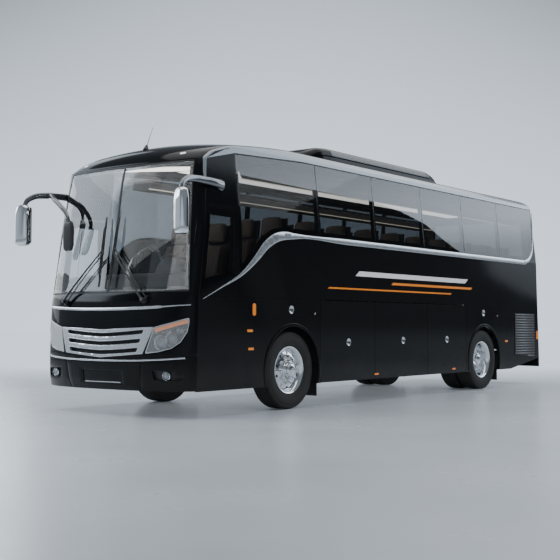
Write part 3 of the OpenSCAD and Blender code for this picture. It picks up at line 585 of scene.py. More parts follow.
def surf_map(fn, side):
    """Point and outward normal from (a * K, z)."""
    def f(p, q):
        a, s = p / K, s_of_z(q)
        e, es = 0.004, 0.004
        P = fn(a, s)
        du = fn(min(a + e, 1), s) - fn(max(a - e, -1), s)
        dv = fn(a, s + es) - fn(a, max(s - es, 0))
        n = du.cross(dv)
        if n.length < 1e-12:
            n = Vector((0, 1 if a > 0 else -1, 0))
        n.normalize()
        if n.x * side < 0 or (abs(n.x) < 1e-3 and n.y * a < 0):
            n = -n
        return P, n
    return f


nose_map, tail_map = surf_map(nose_pt, 1), surf_map(tail_pt, -1)


def side_y(z):
    return 1.25 if z <= 2.24 else 1.25 - 0.09 * (z - 2.24)


def side_map(s):
    def f(p, q):
        n = Vector((0, s, 0)) if q <= 2.24 else Vector((0, s, 0.09)).normalized()
        return Vector((p, s * side_y(q), q)), n
    return f


def yz(pts):
    """(y, z) in millimetres to the nose or tail map's own (a * K, z)."""
    out = []
    for y, z in resample([(p[0] / 1000, p[1] / 1000) for p in pts], 0.03):
        w = float(np.interp(z, ZR[:11], RAW[:11, 1]))
        t = min(1.0, (abs(y) / w)**(1 / CORNER_POWER))
        out.append((K * math.copysign(math.asin(t) / (math.pi / 2), y), z))
    return out


def resample(pts, step):
    out = []
    for k, a in enumerate(pts):
        b = pts[(k + 1) % len(pts)]
        n = max(1, int(math.ceil(math.dist(a, b) / step)))
        out += [(a[0] + (b[0] - a[0]) * j / n, a[1] + (b[1] - a[1]) * j / n) for j in range(n)]
    return out


def rounded(pts, r, n=5):
    """Corners of a closed outline rounded to radius r (one number or one per corner)."""
    out = []
    m = len(pts)
    for k, p in enumerate(pts):
        rr = r[k] if isinstance(r, (list, tuple)) else r
        a, b = Vector(pts[k - 1]), Vector(pts[(k + 1) % m])
        p = Vector(p)
        u, w = (a - p), (b - p)
        lim = min(u.length, w.length) * 0.49
        ang = u.angle(w)
        if rr <= 0 or ang > math.radians(176):
            out.append(tuple(p))
            continue
        d = min(lim, rr / math.tan(ang / 2))
        A, B = p + u.normalized() * d, p + w.normalized() * d
        for j in range(n + 1):
            t = j / n
            out.append(tuple(A * (1 - t)**2 + p * 2 * t * (1 - t) + B * t**2))
    return out


def inside(pts, poly):
    """Vectorised point in polygon."""
    x, y = pts[:, 0], pts[:, 1]
    r = np.zeros(len(pts), bool)
    px, py = np.array(poly).T
    qx, qy = np.roll(px, -1), np.roll(py, -1)
    for a, b, c, d in zip(px, py, qx, qy):
        if b != d:
            t = ((b > y) != (d > y)) & (x < (c - a) * (y - b) / (d - b) + a)
            r ^= t
    return r


def edge_dist(pts, poly):
    P, Q = np.array(poly), np.roll(np.array(poly), -1, 0)
    best = np.full(len(pts), 1e9)
    for a, b in zip(P, Q):
        ab = b - a
        L2 = (ab**2).sum() + 1e-18
        t = np.clip(((pts - a) @ ab) / L2, 0, 1)
        best = np.minimum(best, np.linalg.norm(pts - a - t[:, None] * ab, axis=1))
    return best


def fill(outer, holes=(), step=0.06):
    """Triangles over a flat outline, with an even grid inside."""
    loops = [resample(outer, step)] + [resample(h, step) for h in holes]
    P = np.array(outer)
    lo, hi = P.min(0), P.max(0)
    g = np.array([(x, y) for x in np.arange(lo[0] + step / 2, hi[0], step)
                  for y in np.arange(lo[1] + step / 2, hi[1], step)])
    if len(g):
        ok = inside(g, loops[0])
        for h in loops[1:]:
            ok &= ~inside(g, h)
        g = g[ok]
        for lp in loops:
            if len(g):
                g = g[edge_dist(g, lp) > step * 0.35]
    co, ed = [], []
    for lp in loops:
        n0 = len(co)
        co += [Vector(p) for p in lp]
        ed += [(n0 + i, n0 + (i + 1) % len(lp)) for i in range(len(lp))]
    co += [Vector((p[0], p[1])) for p in g]
    vs, _, fs, _, _, _ = delaunay_2d_cdt(co, ed, [], 0, 1e-7)
    V2 = np.array([(v[0], v[1]) for v in vs])
    T = np.array([f for f in fs if len(f) == 3])
    c = V2[T].mean(1)
    keep = inside(c, loops[0])
    for h in loops[1:]:
        keep &= ~inside(c, h)
    T = T[keep]
    return V2, T


def thick(P, Nn, T, t, off=0.0):
    """Top at off along the normal, bottom t below it, with side walls."""
    n = len(P)
    top = [p + k * off for p, k in zip(P, Nn)]
    bot = [p + k * (off - t) for p, k in zip(P, Nn)]
    faces, idx = [], []
    count = {}
    for f in T:
        a, b, c = f[0], f[1], f[2]
        nn = Vector()
        for k in range(1, len(f) - 1):
            nn += (P[f[k]] - P[a]).cross(P[f[k + 1]] - P[a])
        if nn.dot(Nn[a] + Nn[b] + Nn[c]) < 0:
            f = tuple(reversed(f))
        faces.append(tuple(f))
        idx.append(0)
        m = len(f)
        for k in range(m):
            e = (f[k], f[(k + 1) % m])
            count[frozenset(e)] = None if frozenset(e) in count else e
    nt = len(faces)
    for f in faces[:nt]:
        faces.append(tuple(n + k for k in reversed(f)))
        idx.append(1)
    for e in count.values():
        if e:
            a, b = e
            faces.append((b, a, n + a, n + b))
            idx.append(2)
    return top + bot, faces, idx


def patch(name, outer, fmap, t, m, holes=(), off=0.0, step=0.06, bevel=0.0015, back=None, **k):
    V2, T = fill(outer, holes, step)
    used = sorted(set(T.ravel().tolist()))
    re = {u: i for i, u in enumerate(used)}
    pn = [fmap(*V2[u]) for u in used]
    P, Nn = [a for a, _ in pn], [b for _, b in pn]
    vs, fs, idx = thick(P, Nn, [tuple(re[j] for j in f) for f in T.tolist()], t, off)
    if back:
        return piece(name, vs, fs, m, mats=[m, back], idx=[1 if i == 1 else 0 for i in idx], bevel=bevel, **k)
    return piece(name, vs, fs, m, bevel=bevel, **k)


def ribbon(pts, w):
    """Closed outline of a band of width w (or widths) along an open 2-D line."""
    pts = [Vector(p) for p in pts]
    ws = list(w) if isinstance(w, (list, tuple)) else [w] * len(pts)
    ws = list(np.interp(np.linspace(0, 1, len(pts)), np.linspace(0, 1, len(ws)), ws))
    L, R = [], []
    for i, p in enumerate(pts):
        a, b = pts[max(0, i - 1)], pts[min(len(pts) - 1, i + 1)]
        d = (b - a).normalized()
        n = Vector((-d.y, d.x))
        L.append(tuple(p + n * ws[i] / 2))
        R.append(tuple(p - n * ws[i] / 2))
    return L + R[::-1]


def spline(pts, n=8):
    """Smooth open line through 2-D or 3-D points."""
    P = np.array(pts, float)
    d = np.concatenate([[0], np.cumsum(np.linalg.norm(np.diff(P, axis=0), axis=1))])
    m = np.gradient(P, d, axis=0)
    out = []
    for i in range(len(P) - 1):
        h = d[i + 1] - d[i]
        for j in range(n):
            t = j / n
            out.append(tuple((2 * t**3 - 3 * t**2 + 1) * P[i] + (t**3 - 2 * t**2 + t) * h * m[i]
                             + (-2 * t**3 + 3 * t**2) * P[i + 1] + (t**3 - t**2) * h * m[i + 1]))
    out.append(tuple(P[-1]))
    return out


def dress(key, *names, angle=32):
    for n in names:
        o = NODES[n]
        o.data.materials.clear()
        o.data.materials.append(M[key])
        sharp(o.data, angle)


DOORS = [f"{s}_luggage_door_{p}" for s in ("left", "right") for p in ("front", "middle", "rear")]
dress("paint", "left_side_wall", "right_side_wall", "passenger_door", *DOORS)
dress("glass", "side_windows")
dress("glass_mid", "passenger_door_glass")
dress("carpet", "cabin_floor")
dress("steel", "luggage_floor", "engine_block", "front_axle_beam", "left_knuckle", "right_knuckle", "rear_axle")
dress("frame", "chassis_frame", "passenger_door_arm")
dress("rubber", "air_springs", "mudflaps")
dress("inner", "luggage_racks")
dress("dash", "dashboard")


# ---------------------------------------------------------------- roof, front and rear skins
def roof():
    NA, NS, NT, R1, R2 = 48, 50, 28, 5, 36
    z0 = 3.24
    w0, nc0, tc0 = row_s(S_EAVE)[1], row_s(S_EAVE)[3], row_s(S_EAVE)[5]
    cols = [("n", a) for a in np.linspace(-1, 1, NA + 1)]
    cols += [("l", u) for u in np.linspace(0, 1, NS + 1)[1:-1]]
    cols += [("t", a) for a in np.linspace(1, -1, NT + 1)]
    cols += [("r", u) for u in np.linspace(1, 0, NS + 1)[1:-1]]
    V = []
    for k in range(R1 + R2 + 1):
        for kind, p in cols:
            if k < R1:
                r = k / R1
                if kind == "n":
                    V.append(nose_pt(p, s_of_z(3.05 + (z0 - 3.05) * r)))
                elif kind == "t":
                    V.append(tail_pt(p, S_EAVE))
                else:
                    sg = 1 if kind == "l" else -1
                    xt = nc0 + (tc0 - nc0) * p
                    if xt > 2.41:
                        xb = 2.41 + (xt - 2.41) * (4.31 - 2.41) / (nc0 - 2.41)
                        zb = float(np.interp(xb, [2.41, 3.78, 4.31], [3.24, 3.177, 3.05]))
                        x, z = xb + (xt - xb) * r, zb + (z0 - zb) * r
                        V.append(Vector((x, sg * side_y(z), z)))
                    else:
                        V.append(Vector((xt, sg * w0, z0)))
            else:
                s = S_EAVE + (S[-1] - S_EAVE) * (k - R1) / R2
                z, w, _, nc, _, tcn = row_s(s)
                if kind == "n":
                    V.append(nose_pt(p, s))
                elif kind == "t":
                    V.append(tail_pt(p, s))
                else:
                    V.append(Vector((nc + (tcn - nc) * p, w if kind == "l" else -w, z)))
    n = len(cols)
    F = [(k * n + j, k * n + (j + 1) % n, (k + 1) * n + (j + 1) % n, (k + 1) * n + j)
         for k in range(R1 + R2) for j in range(n)]
    F.append(tuple((R1 + R2) * n + j for j in range(n)))
    bm = bmesh.new()
    vs = [bm.verts.new(v) for v in V]
    for f in F:
        bm.faces.new([vs[i] for i in f])
    bmesh.ops.remove_doubles(bm, verts=bm.verts, dist=2e-4)
    bmesh.ops.dissolve_degenerate(bm, edges=bm.edges, dist=1e-5)
    bmesh.ops.recalc_face_normals(bm, faces=bm.faces)
    bm.verts.index_update()
    bm.normal_update()
    P = [v.co.copy() for v in bm.verts]
    top = max(P, key=lambda q: q.z)
    sgn = 1 if [v for v in bm.verts if (v.co - top).length < 1e-6][0].normal.z > 0 else -1
    Nn = [v.normal * sgn for v in bm.verts]
    T = [tuple(v.index for v in f.verts) for f in bm.faces]
    bm.free()
    vs, fs, idx = thick(P, Nn, T, 0.045)
    piece("roof_panel", vs, fs, "paint", mats=["paint", "inner"], idx=[1 if i == 1 else 0 for i in idx],
          smooth=38, bevel=0.003, rep=("roof_shell",))


roof()

SCREEN = [(-1185, 1470), (-1066, 3030), (1066, 3030), (1185, 1470)]
GRILLE = [(-800, 1057), (-400, 1045), (0, 1026), (400, 1045), (800, 1057), (664, 745), (0, 695), (-664, 745)]
LAMP = [(806, 1052), (1000, 1102), (1203, 1158), (1204, 1100), (1190, 1000), (1132, 885), (1030, 811), (877, 773),
        (707, 753)]
GR = rounded(yz(GRILLE), 0.02)
LM = rounded(yz(LAMP), 0.03)
LMR = [(-a, b) for a, b in LM][::-1]
SC = rounded(yz(SCREEN), 0.05)


def grow(poly, d):
    """Outline moved out by d (in for a negative d)."""
    P = [Vector(p) for p in poly]
    area = sum(P[i - 1].x * P[i].y - P[i].x * P[i - 1].y for i in range(len(P)))
    sg = 1 if area > 0 else -1
    out = []
    for i in range(len(P)):
        a, b, c = P[i - 1], P[i], P[(i + 1) % len(P)]
        if (b - a).length < 1e-9 or (c - b).length < 1e-9:
            continue
        n1 = Vector(((b - a).y, -(b - a).x)).normalized() * sg
        n2 = Vector(((c - b).y, -(c - b).x)).normalized() * sg
        n = (n1 + n2)
        n = n.normalized() / max(0.5, n.normalized().dot(n1)) if n.length > 1e-6 else n1
        out.append(tuple(b + n * d))
    return out


Kf = K * 0.9999
# the lower edge: only the part of the closed run that goes along it is kept
lower = yz([(1180, 718), (900, 706), (600, 694), (300, 687), (0, 685), (-300, 687), (-600, 694), (-900, 706),
            (-1180, 718)])
k_end = min(range(len(lower)), key=lambda i: (lower[i][0], i))
lower = lower[:k_end + 1]
front_outline = [(-Kf, 3.047), (Kf, 3.047), (Kf, 0.722)] + lower + [(-Kf, 0.722)]

patch("front_panel", front_outline, nose_map, 0.045, "paint", step=0.045,
      holes=[grow(SC, 0.004), grow(GR, 0.004), grow(LM, 0.003), grow(LMR, 0.003)], back="inner", bevel=0.003,
      rep=("front_shell",))
patch("screen_glass", SC, nose_map, 0.006, "screen", off=-0.002, step=0.06, bevel=0.001, rep=("windshield",))
patch("screen_frit", grow(SC, 0.002), nose_map, 0.002, "frit", off=-0.009, step=0.05, bevel=0,
      holes=[rounded(yz([(-1135, 1530), (-1022, 2975), (1022, 2975), (1135, 1530)]), 0.07)])
patch("screen_seal", grow(SC, 0.003), nose_map, 0.010, "rubber", off=0.001, step=0.05, bevel=0.001,
      holes=[grow(SC, -0.012)])

# bumper: a middle part and two corners, the corners holding the fog lamps
SEAM = [(648, 663), (640, 600), (612, 400), (596, 312)]
FOG = rounded(yz([(770, 560), (1120, 545), (1175, 500), (1140, 440), (900, 425), (800, 440)]), 0.03)
FOGR = [(-a, b) for a, b in FOG][::-1]
PLATE = rounded(yz([(-345, 390), (-345, 548), (345, 548), (345, 390)]), 0.012)


def open_yz(pts):
    """An open run of (y, z) mm points taken to the nose map."""
    w = 1.25
    out = []
    for (y0, z0), (y1, z1) in zip(pts[:-1], pts[1:]):
        n = max(1, int(abs(y1 - y0) / 40), int(abs(z1 - z0) / 60))
        for j in range(n):
            y, z = (y0 + (y1 - y0) * j / n) / 1000, (z0 + (z1 - z0) * j / n) / 1000
            t = min(1.0, (abs(y) / w)**(1 / CORNER_POWER))
            out.append((K * math.copysign(math.asin(t) / (math.pi / 2), y), z))
    y, z = pts[-1][0] / 1000, pts[-1][1] / 1000
    t = min(1.0, (abs(y) / w)**(1 / CORNER_POWER))
    out.append((K * math.copysign(math.asin(t) / (math.pi / 2), y), z))
    return out


mid_outline = open_yz([(-(SEAM[3][0] - 3), 312), (SEAM[3][0] - 3, 312), (609, 400), (637, 600), (647, 684)]) \
    + open_yz([(648 - 3, 684), (300, 678), (0, 676), (-300, 678), (-645, 684)])[1:] \
    + open_yz([(-645, 684), (-637, 600), (-609, 400), (-(SEAM[3][0] - 3), 312)])[1:-1]
patch("bumper_middle", mid_outline, nose_map, 0.03, "paint", holes=[PLATE], step=0.05, bevel=0.004,
      rep=("front_bumper",))
cor = open_yz([(600, 312), (613, 400), (641, 600), (651, 684), (900, 700), (1180, 714)]) + [(Kf, 0.716), (Kf, 0.330)] \
    + open_yz([(1245, 318), (900, 312), (604, 312)])[:-1]
patch("bumper_left_corner", cor, nose_map, 0.03, "paint", holes=[FOG], step=0.05, bevel=0.004)
patch("bumper_right_corner", [(-a, b) for a, b in cor][::-1], nose_map, 0.03, "paint", holes=[FOGR], step=0.05,
      bevel=0.004)
patch("bumper_backing", [(-K * 0.96, 0.33), (-K * 0.96, 0.70), (K * 0.96, 0.70), (K * 0.96, 0.33)], nose_map, 0.004,
      "frame", off=-0.034, step=0.06, holes=[grow(FOG, 0.004), grow(FOGR, 0.004), grow(PLATE, 0.004)], bevel=0)


def rim_wall(outline, name, m, depth, fmap=nose_map, width=0.003, off=0.0, **k):
    """The side wall of a recess: a band standing in from the surface."""
    lp = resample(outline, 0.03)
    inner = grow(lp, -width)
    V, F = [], []
    n = min(len(lp), len(inner))
    for a in range(n):
        for q in (lp[a], inner[a]):
            p, nn = fmap(*q)
            V += [p + nn * off, p - nn * depth]
    for a in range(n):
        b = (a + 1) % n
        o0, o1, i0, i1 = 4 * a, 4 * a + 1, 4 * a + 2, 4 * a + 3
        q0, q1, r0, r1 = 4 * b, 4 * b + 1, 4 * b + 2, 4 * b + 3
        F += [(o0, q0, q1, o1), (i0, i1, r1, r0), (o0, i0, r0, q0), (o1, q1, r1, i1)]
    return piece(name, V, F, m, smooth=50, **k)


# blank plate place
rim_wall(grow(PLATE, -0.002), "plate_place_wall", "plastic", 0.03)
patch("plate_place", grow(PLATE, -0.002), nose_map, 0.006, "paint", off=-0.014, step=0.05, bevel=0)
patch("plate_ledge", rounded(yz([(-300, 398), (-318, 408), (318, 408), (300, 398)]), 0.003), nose_map, 0.012, "satin",
      off=-0.004, step=0.05, bevel=0.002)

# chrome strips of the front
band = ribbon(open_yz([(1178, 701), (900, 681), (600, 667), (300, 661), (0, 659), (-300, 661), (-600, 667),
                       (-900, 681), (-1178, 701)]), 0.020)
patch("front_low_strip", band, nose_map, 0.012, "silver", off=0.006, step=0.03, bevel=0.003)
band = ribbon(open_yz([(1215, 1311), (1100, 1306), (900, 1292), (600, 1279), (300, 1272), (0, 1270), (-300, 1272),
                       (-600, 1279), (-900, 1292), (-1100, 1306), (-1215, 1311)]),
              [0.012] * 4 + [0.016] * 6 + [0.034] * 60)
patch("front_mid_strip", band, nose_map, 0.012, "silver", off=0.006, step=0.03, bevel=0.003)

# grille: a silver panel with three dark slots, mesh behind
patch("grille_backing", grow(GR, 0.01), nose_map, 0.006, "mesh", off=-0.05, step=0.05, bevel=0, rep=("grille",))


def chevron(z0, z1, e0, e1, n=20):
    """Slot from its lower edge z0 to its upper edge z1 in the middle, rising towards the ends."""
    rise = lambda y: 28 * (abs(y) / 640)**1.6 + 0.018 * abs(y)
    lo = [(y, z0 + rise(y)) for y in np.linspace(-e0, e0, n + 1)]
    hi = [(y, z1 + rise(y)) for y in np.linspace(e1, -e1, n + 1)]
    return rounded(open_yz(lo) + open_yz(hi), 0.012, 3)


SLOTS = [chevron(939, 985, 640, 662), chevron(838, 884, 606, 628), chevron(733, 781, 572, 594)]
patch("grille_panel", GR, nose_map, 0.028, "silver", off=0.004, step=0.028, bevel=0.009, segs=3, holes=SLOTS)
for i, sl in enumerate(SLOTS):
    patch(f"grille_slot_rim_{i + 1}", grow(sl, 0.009), nose_map, 0.005, "chrome", off=0.0065, step=0.03, bevel=0.002,
          holes=[grow(sl, 0.0035)])
g = Geo()
for i, zc in enumerate((962, 861, 757)):
    e0 = 640 - 34 * i
    for k in range(25):
        y = -e0 + 2 * e0 * k / 24
        rise = 28 * (abs(y) / 640)**1.6 + 0.018 * abs(y)
        (pa, qa), = open_yz([(y, zc - 26 + rise), (y, zc - 26 + rise)])[:1]
        (pb, qb), = open_yz([(y + 20, zc + 26 + rise), (y + 20, zc + 26 + rise)])[:1]
        (pc, qc), = open_yz([(y - 20, zc + 26 + rise), (y - 20, zc + 26 + rise)])[:1]
        A_, n_ = nose_map(pa, qa)
        for pp, qq in ((pb, qb), (pc, qc)):
            B_, _ = nose_map(pp, qq)
            g.tube([A_ - n_ * 0.030, B_ - n_ * 0.030], 0.0028, 0, 5)
g.made("grille_lattice", "plastic", smooth=40)

# headlamps
for s, lamp, tag in ((1, LM, "left"), (-1, LMR, "right")):
    patch(f"{tag}_lamp_lens", lamp, nose_map, 0.004, "lens", off=0.003, step=0.035, bevel=0.0015, rep=("headlamps",)
          if s > 0 else ())
    patch(f"{tag}_lamp_housing", grow(lamp, 0.006), nose_map, 0.004, "plastic", off=-0.085, step=0.05, bevel=0)
    rim_wall(grow(lamp, 0.001), f"{tag}_lamp_wall", "reflector", 0.085, width=0.004)
    patch(f"{tag}_lamp_border", grow(lamp, 0.004), nose_map, 0.006, "chrome", off=0.0055, step=0.03, bevel=0.0015,
          holes=[grow(lamp, -0.006)])
    strip = yz([(806, 1040), (1000, 1092), (1196, 1146), (1197, 1102), (1000, 1046), (812, 994)])
    strip = rounded(strip if s > 0 else [(-a, b) for a, b in strip][::-1], 0.006)
    patch(f"{tag}_turn_lamp", strip, nose_map, 0.02, "amber", off=-0.004, step=0.03, bevel=0.003)
    g = Geo()
    for (y, z), r, kind in (((0.886, 0.879), 0.072, 0), ((1.021, 0.918), 0.066, 0), ((1.125, 1.012), 0.036, 0),
                            ((0.985, 1.010), 0.030, 0)):
        t = (y / 1.25)**(1 / CORNER_POWER)
        P, N_ = nose_map(s * K * math.asin(t) / (math.pi / 2), z)
        ax = Vector((1, s * 0.12, 0)).normalized()
        at = P - N_ * 0.055
        bowl = [(r * 1.28, 0.030), (r * 1.24, 0.036), (r * 1.16, 0.030), (r * 1.02, 0.004), (r * 0.86, -0.012),
                (r * 0.84, -0.02), (r * 1.1, -0.02), (r * 1.24, 0.0), (r * 1.28, 0.030)]
        g.revolve(bowl, at, ax, 0, 40)
        dome = [(r * 0.80, -0.014)] + [(r * 0.80 * math.cos(q), 0.002 + r * 0.42 * math.sin(q))
                                       for q in np.linspace(0, math.pi / 2, 8)[:-1]] + [(0, 0.002 + r * 0.42)]
        g.revolve([(0, -0.014)] + dome, at, ax, 1, 32)
    for q in range(9):
        y = 0.80 + 0.045 * q
        z0, z1 = 0.80 + 0.018 * q, 0.80 + 0.018 * q + 0.006
        t = (y / 1.25)**(1 / CORNER_POWER)
        P, N_ = nose_map(s * K * math.asin(t) / (math.pi / 2), 0.985 + 0.05 * q / 9)
        Q, _ = nose_map(s * K * math.asin(((y + 0.038) / 1.25)**(1 / CORNER_POWER)) / (math.pi / 2),
                        0.985 + 0.05 * (q + 1) / 9)
        if q % 2 == 0:
            g.tube([P - N_ * 0.03, Q - N_ * 0.03], 0.004, 0, 8)
    g.made(f"{tag}_lamp_units", "reflector", mats=["reflector", "projector"], smooth=50)
    rim_wall(grow(FOG if s > 0 else FOGR, -0.001), f"{tag}_fog_wall", "plastic", 0.05)
    patch(f"{tag}_fog_pocket", grow(FOG if s > 0 else FOGR, 0.004), nose_map, 0.004, "plastic", off=-0.046, step=0.05,
          bevel=0)
    g = Geo()
    t = (0.966 / 1.25)**(1 / CORNER_POWER)
    P, N_ = nose_map(s * K * math.asin(t) / (math.pi / 2), 0.49)
    ax = (N_ + Vector((1.2, 0, 0))).normalized()
    at = P - N_ * 0.04
    g.revolve([(0, -0.004), (0.052, -0.004), (0.056, 0.022), (0.050, 0.030), (0.046, 0.024), (0.044, 0.008),
               (0, 0.004)],
              at, ax, 0, 36)
    g.revolve([(0, 0.010), (0.043, 0.010), (0.042, 0.014), (0.03, 0.022), (0.016, 0.026), (0, 0.027)], at, ax, 1, 36)
    for q in range(5):
        P, N_ = nose_map(s * K * math.asin(((1.055 + 0.0) / 1.25)**(1 / CORNER_POWER)) / (math.pi / 2),
                         0.455 + 0.019 * q)
        Q, _ = nose_map(s * K * math.asin((1.135 / 1.25)**(1 / CORNER_POWER)) / (math.pi / 2), 0.455 + 0.019 * q)
        g.tube([P - N_ * 0.022, Q - N_ * 0.022], 0.0045, 2, 8)
    g.made(f"{tag}_fog_lamp", "reflector", mats=["reflector", "projector", "plastic"], smooth=45)


# ---------------------------------------------------------------- rear
LIDO = rounded([(-850, 620), (-850, 1480), (850, 1480), (850, 620)], 30)


def tail_yz(pts):
    out = []
    for y, z in resample([(p[0] / 1000, p[1] / 1000) for p in pts], 0.03):
        t = min(1.0, (abs(y) / 1.25)**(1 / CORNER_POWER))
        out.append((K * math.copysign(math.asin(t) / (math.pi / 2), y), z))
    return out


def tail_line(pts):
    out = []
    for (y0, z0), (y1, z1) in zip(pts[:-1], pts[1:]):
        n = max(1, int(math.hypot(y1 - y0, z1 - z0) / 40))
        for j in range(n):
            out.append((y0 + (y1 - y0) * j / n, z0 + (z1 - z0) * j / n))
    out.append(pts[-1])
    res = []
    for y, z in out:
        t = min(1.0, (abs(y) / 1250)**(1 / CORNER_POWER))
        res.append((K * math.copysign(math.asin(t) / (math.pi / 2), y), z / 1000))
    return res


LID = tail_yz(LIDO)
BACK = rounded(yz([(-980, 2150), (-920, 3080), (920, 3080), (980, 2150)]), 0.07)
TAIL = rounded(tail_yz([(960, 700), (1130, 700), (1130, 1330), (960, 1330)]), 0.03)
TAILR = [(-a, b) for a, b in TAIL][::-1]
patch("rear_panel", [(-Kf, 0.606), (-Kf, 3.238), (Kf, 3.238), (Kf, 0.606)], tail_map, 0.045, "paint", step=0.05,
      holes=[grow(LID, 0.005), grow(BACK, 0.004), grow(TAIL, 0.003), grow(TAILR, 0.003)], back="inner", bevel=0.003,
      rep=("rear_shell",))
patch("rear_bumper", [(-Kf, 0.314), (-Kf, 0.600), (Kf, 0.600), (Kf, 0.314)], tail_map, 0.045, "paint", step=0.05,
      holes=[rounded(tail_yz([(-270, 400), (-270, 520), (270, 520), (270, 400)]), 0.01)], bevel=0.005)
patch("rear_plate_place", tail_yz([(-280, 390), (-280, 530), (280, 530), (280, 390)]), tail_map, 0.006, "plastic",
      off=-0.04, step=0.05, bevel=0)
patch("rear_plate_blank", rounded(tail_yz([(-258, 405), (-258, 515), (258, 515), (258, 405)]), 0.008), tail_map, 0.003,
      "satin", off=-0.018, step=0.05, bevel=0.0008)
patch("rear_glass", BACK, tail_map, 0.006, "glass", off=-0.002, step=0.06, bevel=0.001, rep=("rear_window",))
patch("rear_glass_seal", grow(BACK, 0.003), tail_map, 0.01, "rubber", off=0.001, step=0.05, bevel=0.001,
      holes=[grow(BACK, -0.013)])
patch("lid_panel", LID, tail_map, 0.045, "paint", step=0.05, bevel=0.004, body="engine_lid", rep=("engine_lid",))
g = Geo()
for q in range(11):
    z = 0.86 + 0.038 * q
    pts = [tail_map(*tail_line([(y, z * 1000)])[0]) for y in np.linspace(-560, 560, 15)]
    top_ = [p + n * 0.002 for p, n in pts]
    out_ = [p + n * 0.013 - Vector((0, 0, 0.016)) for p, n in pts]
    low_ = [p + n * 0.002 - Vector((0, 0, 0.024)) for p, n in pts]
    m_ = len(pts)
    g.add(top_ + out_ + low_, [(k, k + 1, m_ + k + 1, m_ + k) for k in range(m_ - 1)]
          + [(m_ + k, m_ + k + 1, 2 * m_ + k + 1, 2 * m_ + k) for k in range(m_ - 1)]
          + [(0, m_, 2 * m_), (m_ - 1, 3 * m_ - 1, 2 * m_ - 1)])
g.made("lid_louvres", "plastic", body="engine_lid", smooth=30)
P, N_ = tail_map(0, 0.70)
g = Geo()
g.revolve([(0, 0), (0.034, 0), (0.036, 0.004), (0.030, 0.008), (0.012, 0.008), (0, 0.006)], P, N_, 0, 28)
g.box((-0.004, -0.014, 0.006), (0.004, 0.014, 0.012), 0,
      Matrix.Translation(P) @ N_.to_track_quat("Z", "Y").to_matrix().to_4x4())
g.made("lid_lock", "satin", body="engine_lid", smooth=40)
for s, tl, tag in ((1, TAIL, "left"), (-1, TAILR, "right")):
    patch(f"{tag}_tail_housing", grow(tl, 0.003), tail_map, 0.004, "plastic", off=-0.040, step=0.05, bevel=0,
          rep=("tail_lamps",) if s > 0 else ())
    rim_wall(grow(tl, 0.002), f"{tag}_tail_wall", "plastic", 0.04, fmap=tail_map)
    patch(f"{tag}_tail_border", grow(tl, 0.004), tail_map, 0.006, "chrome", off=0.003, step=0.04, bevel=0.0012,
          holes=[grow(tl, -0.007)])
    for q, (z0, z1, mk) in enumerate(((712, 862, "red"), (872, 1010, "amber"), (1020, 1170, "red"),
                                      (1180, 1318, "red"))):
        cell = rounded(tail_yz([(970 * 1, z0), (1120, z0), (1120, z1), (970, z1)]), 0.012)
        patch(f"{tag}_tail_lens_{q + 1}", cell if s > 0 else [(-a, b) for a, b in cell][::-1], tail_map, 0.012, mk,
              off=0.004, step=0.03, bevel=0.003)
P, N_ = tail_map(*tail_line([(0, 3150)])[0])
patch("rear_high_lamp", rounded(tail_yz([(-230, 3128), (-230, 3158), (230, 3158), (230, 3128)]), 0.008), tail_map,
      0.012,
      "red", off=0.006, step=0.03, bevel=0.002)

# ---------------------------------------------------------------- sides
LM_, RM_ = side_map(1), side_map(-1)
UP = [(2.663, 2.264), (2.855, 2.274), (3.08, 2.24), (3.299, 2.124), (3.475, 1.947), (3.784, 1.697), (4.10, 1.545),
      (4.45, 1.386)]
LO = [(2.667, 2.194), (3.045, 2.129), (3.227, 2.038), (3.405, 1.895), (3.75, 1.672), (4.09, 1.532), (4.45, 1.378)]
REAR_C = [(-4.36, 2.238), (-4.56, 2.30), (-4.70, 2.42), (-4.785, 2.62), (-4.83, 2.90), (-4.868, 3.20)]


def cut_x(poly, xmax):
    """Outline with everything ahead of xmax cut off."""
    out = []
    for i, p in enumerate(poly):
        q = poly[(i + 1) % len(poly)]
        if p[0] <= xmax:
            out.append(p)
        if (p[0] <= xmax) != (q[0] <= xmax):
            t = (xmax - p[0]) / (q[0] - p[0])
            out.append((xmax, p[1] + (q[1] - p[1]) * t))
    return out


up_line = [(-4.36, 2.268), (-2.0, 2.268), (0.0, 2.268), (1.5, 2.268)] + UP
lo_line = [(-4.36, 2.192), (-2.0, 2.192), (0.0, 2.192), (1.5, 2.192)] + LO
front_sweep = spline(up_line, 6)
low_sweep = spline(lo_line, 6)
rear_sweep = ribbon(spline([(-4.36, 2.230)] + REAR_C[1:], 6), [0.076 - 0.058 * min(1, i / 26) for i in range(31)])
for s, fm_, tag in ((1, LM_, "left"), (-1, RM_, "right")):
    out = front_sweep + low_sweep[::-1]
    if s < 0:
        out = cut_x(out, 3.697)
    patch(f"{tag}_waist_strip", out, fm_, 0.010, "silver", off=0.007, step=0.05, bevel=0.003)
    if s < 0:
        dr = [p for p in front_sweep + low_sweep[::-1]]
        dr = [(2 * 3.71 - x, z) for x, z in cut_x([(2 * 3.71 - x, z) for x, z in dr], 3.71)]
        patch("door_waist_strip", dr, fm_, 0.010, "silver", off=0.007, step=0.05, bevel=0.003, body="passenger_door")
    patch(f"{tag}_waist_strip_rear", rear_sweep, fm_, 0.010, "silver", off=0.007, step=0.05, bevel=0.003)


def seam(name, pts, fm_, w=0.005, body="body"):
    patch(name, ribbon(pts, w), fm_, 0.0012, "frit", off=0.0008, step=0.2, bevel=0, body=body)


def arc_pts(cx, cz, r, a0, a1, n=40):
    return [(cx + r * math.cos(math.radians(a0 + (a1 - a0) * i / n)),
             cz + r * math.sin(math.radians(a0 + (a1 - a0) * i / n)))
            for i in range(n + 1)]


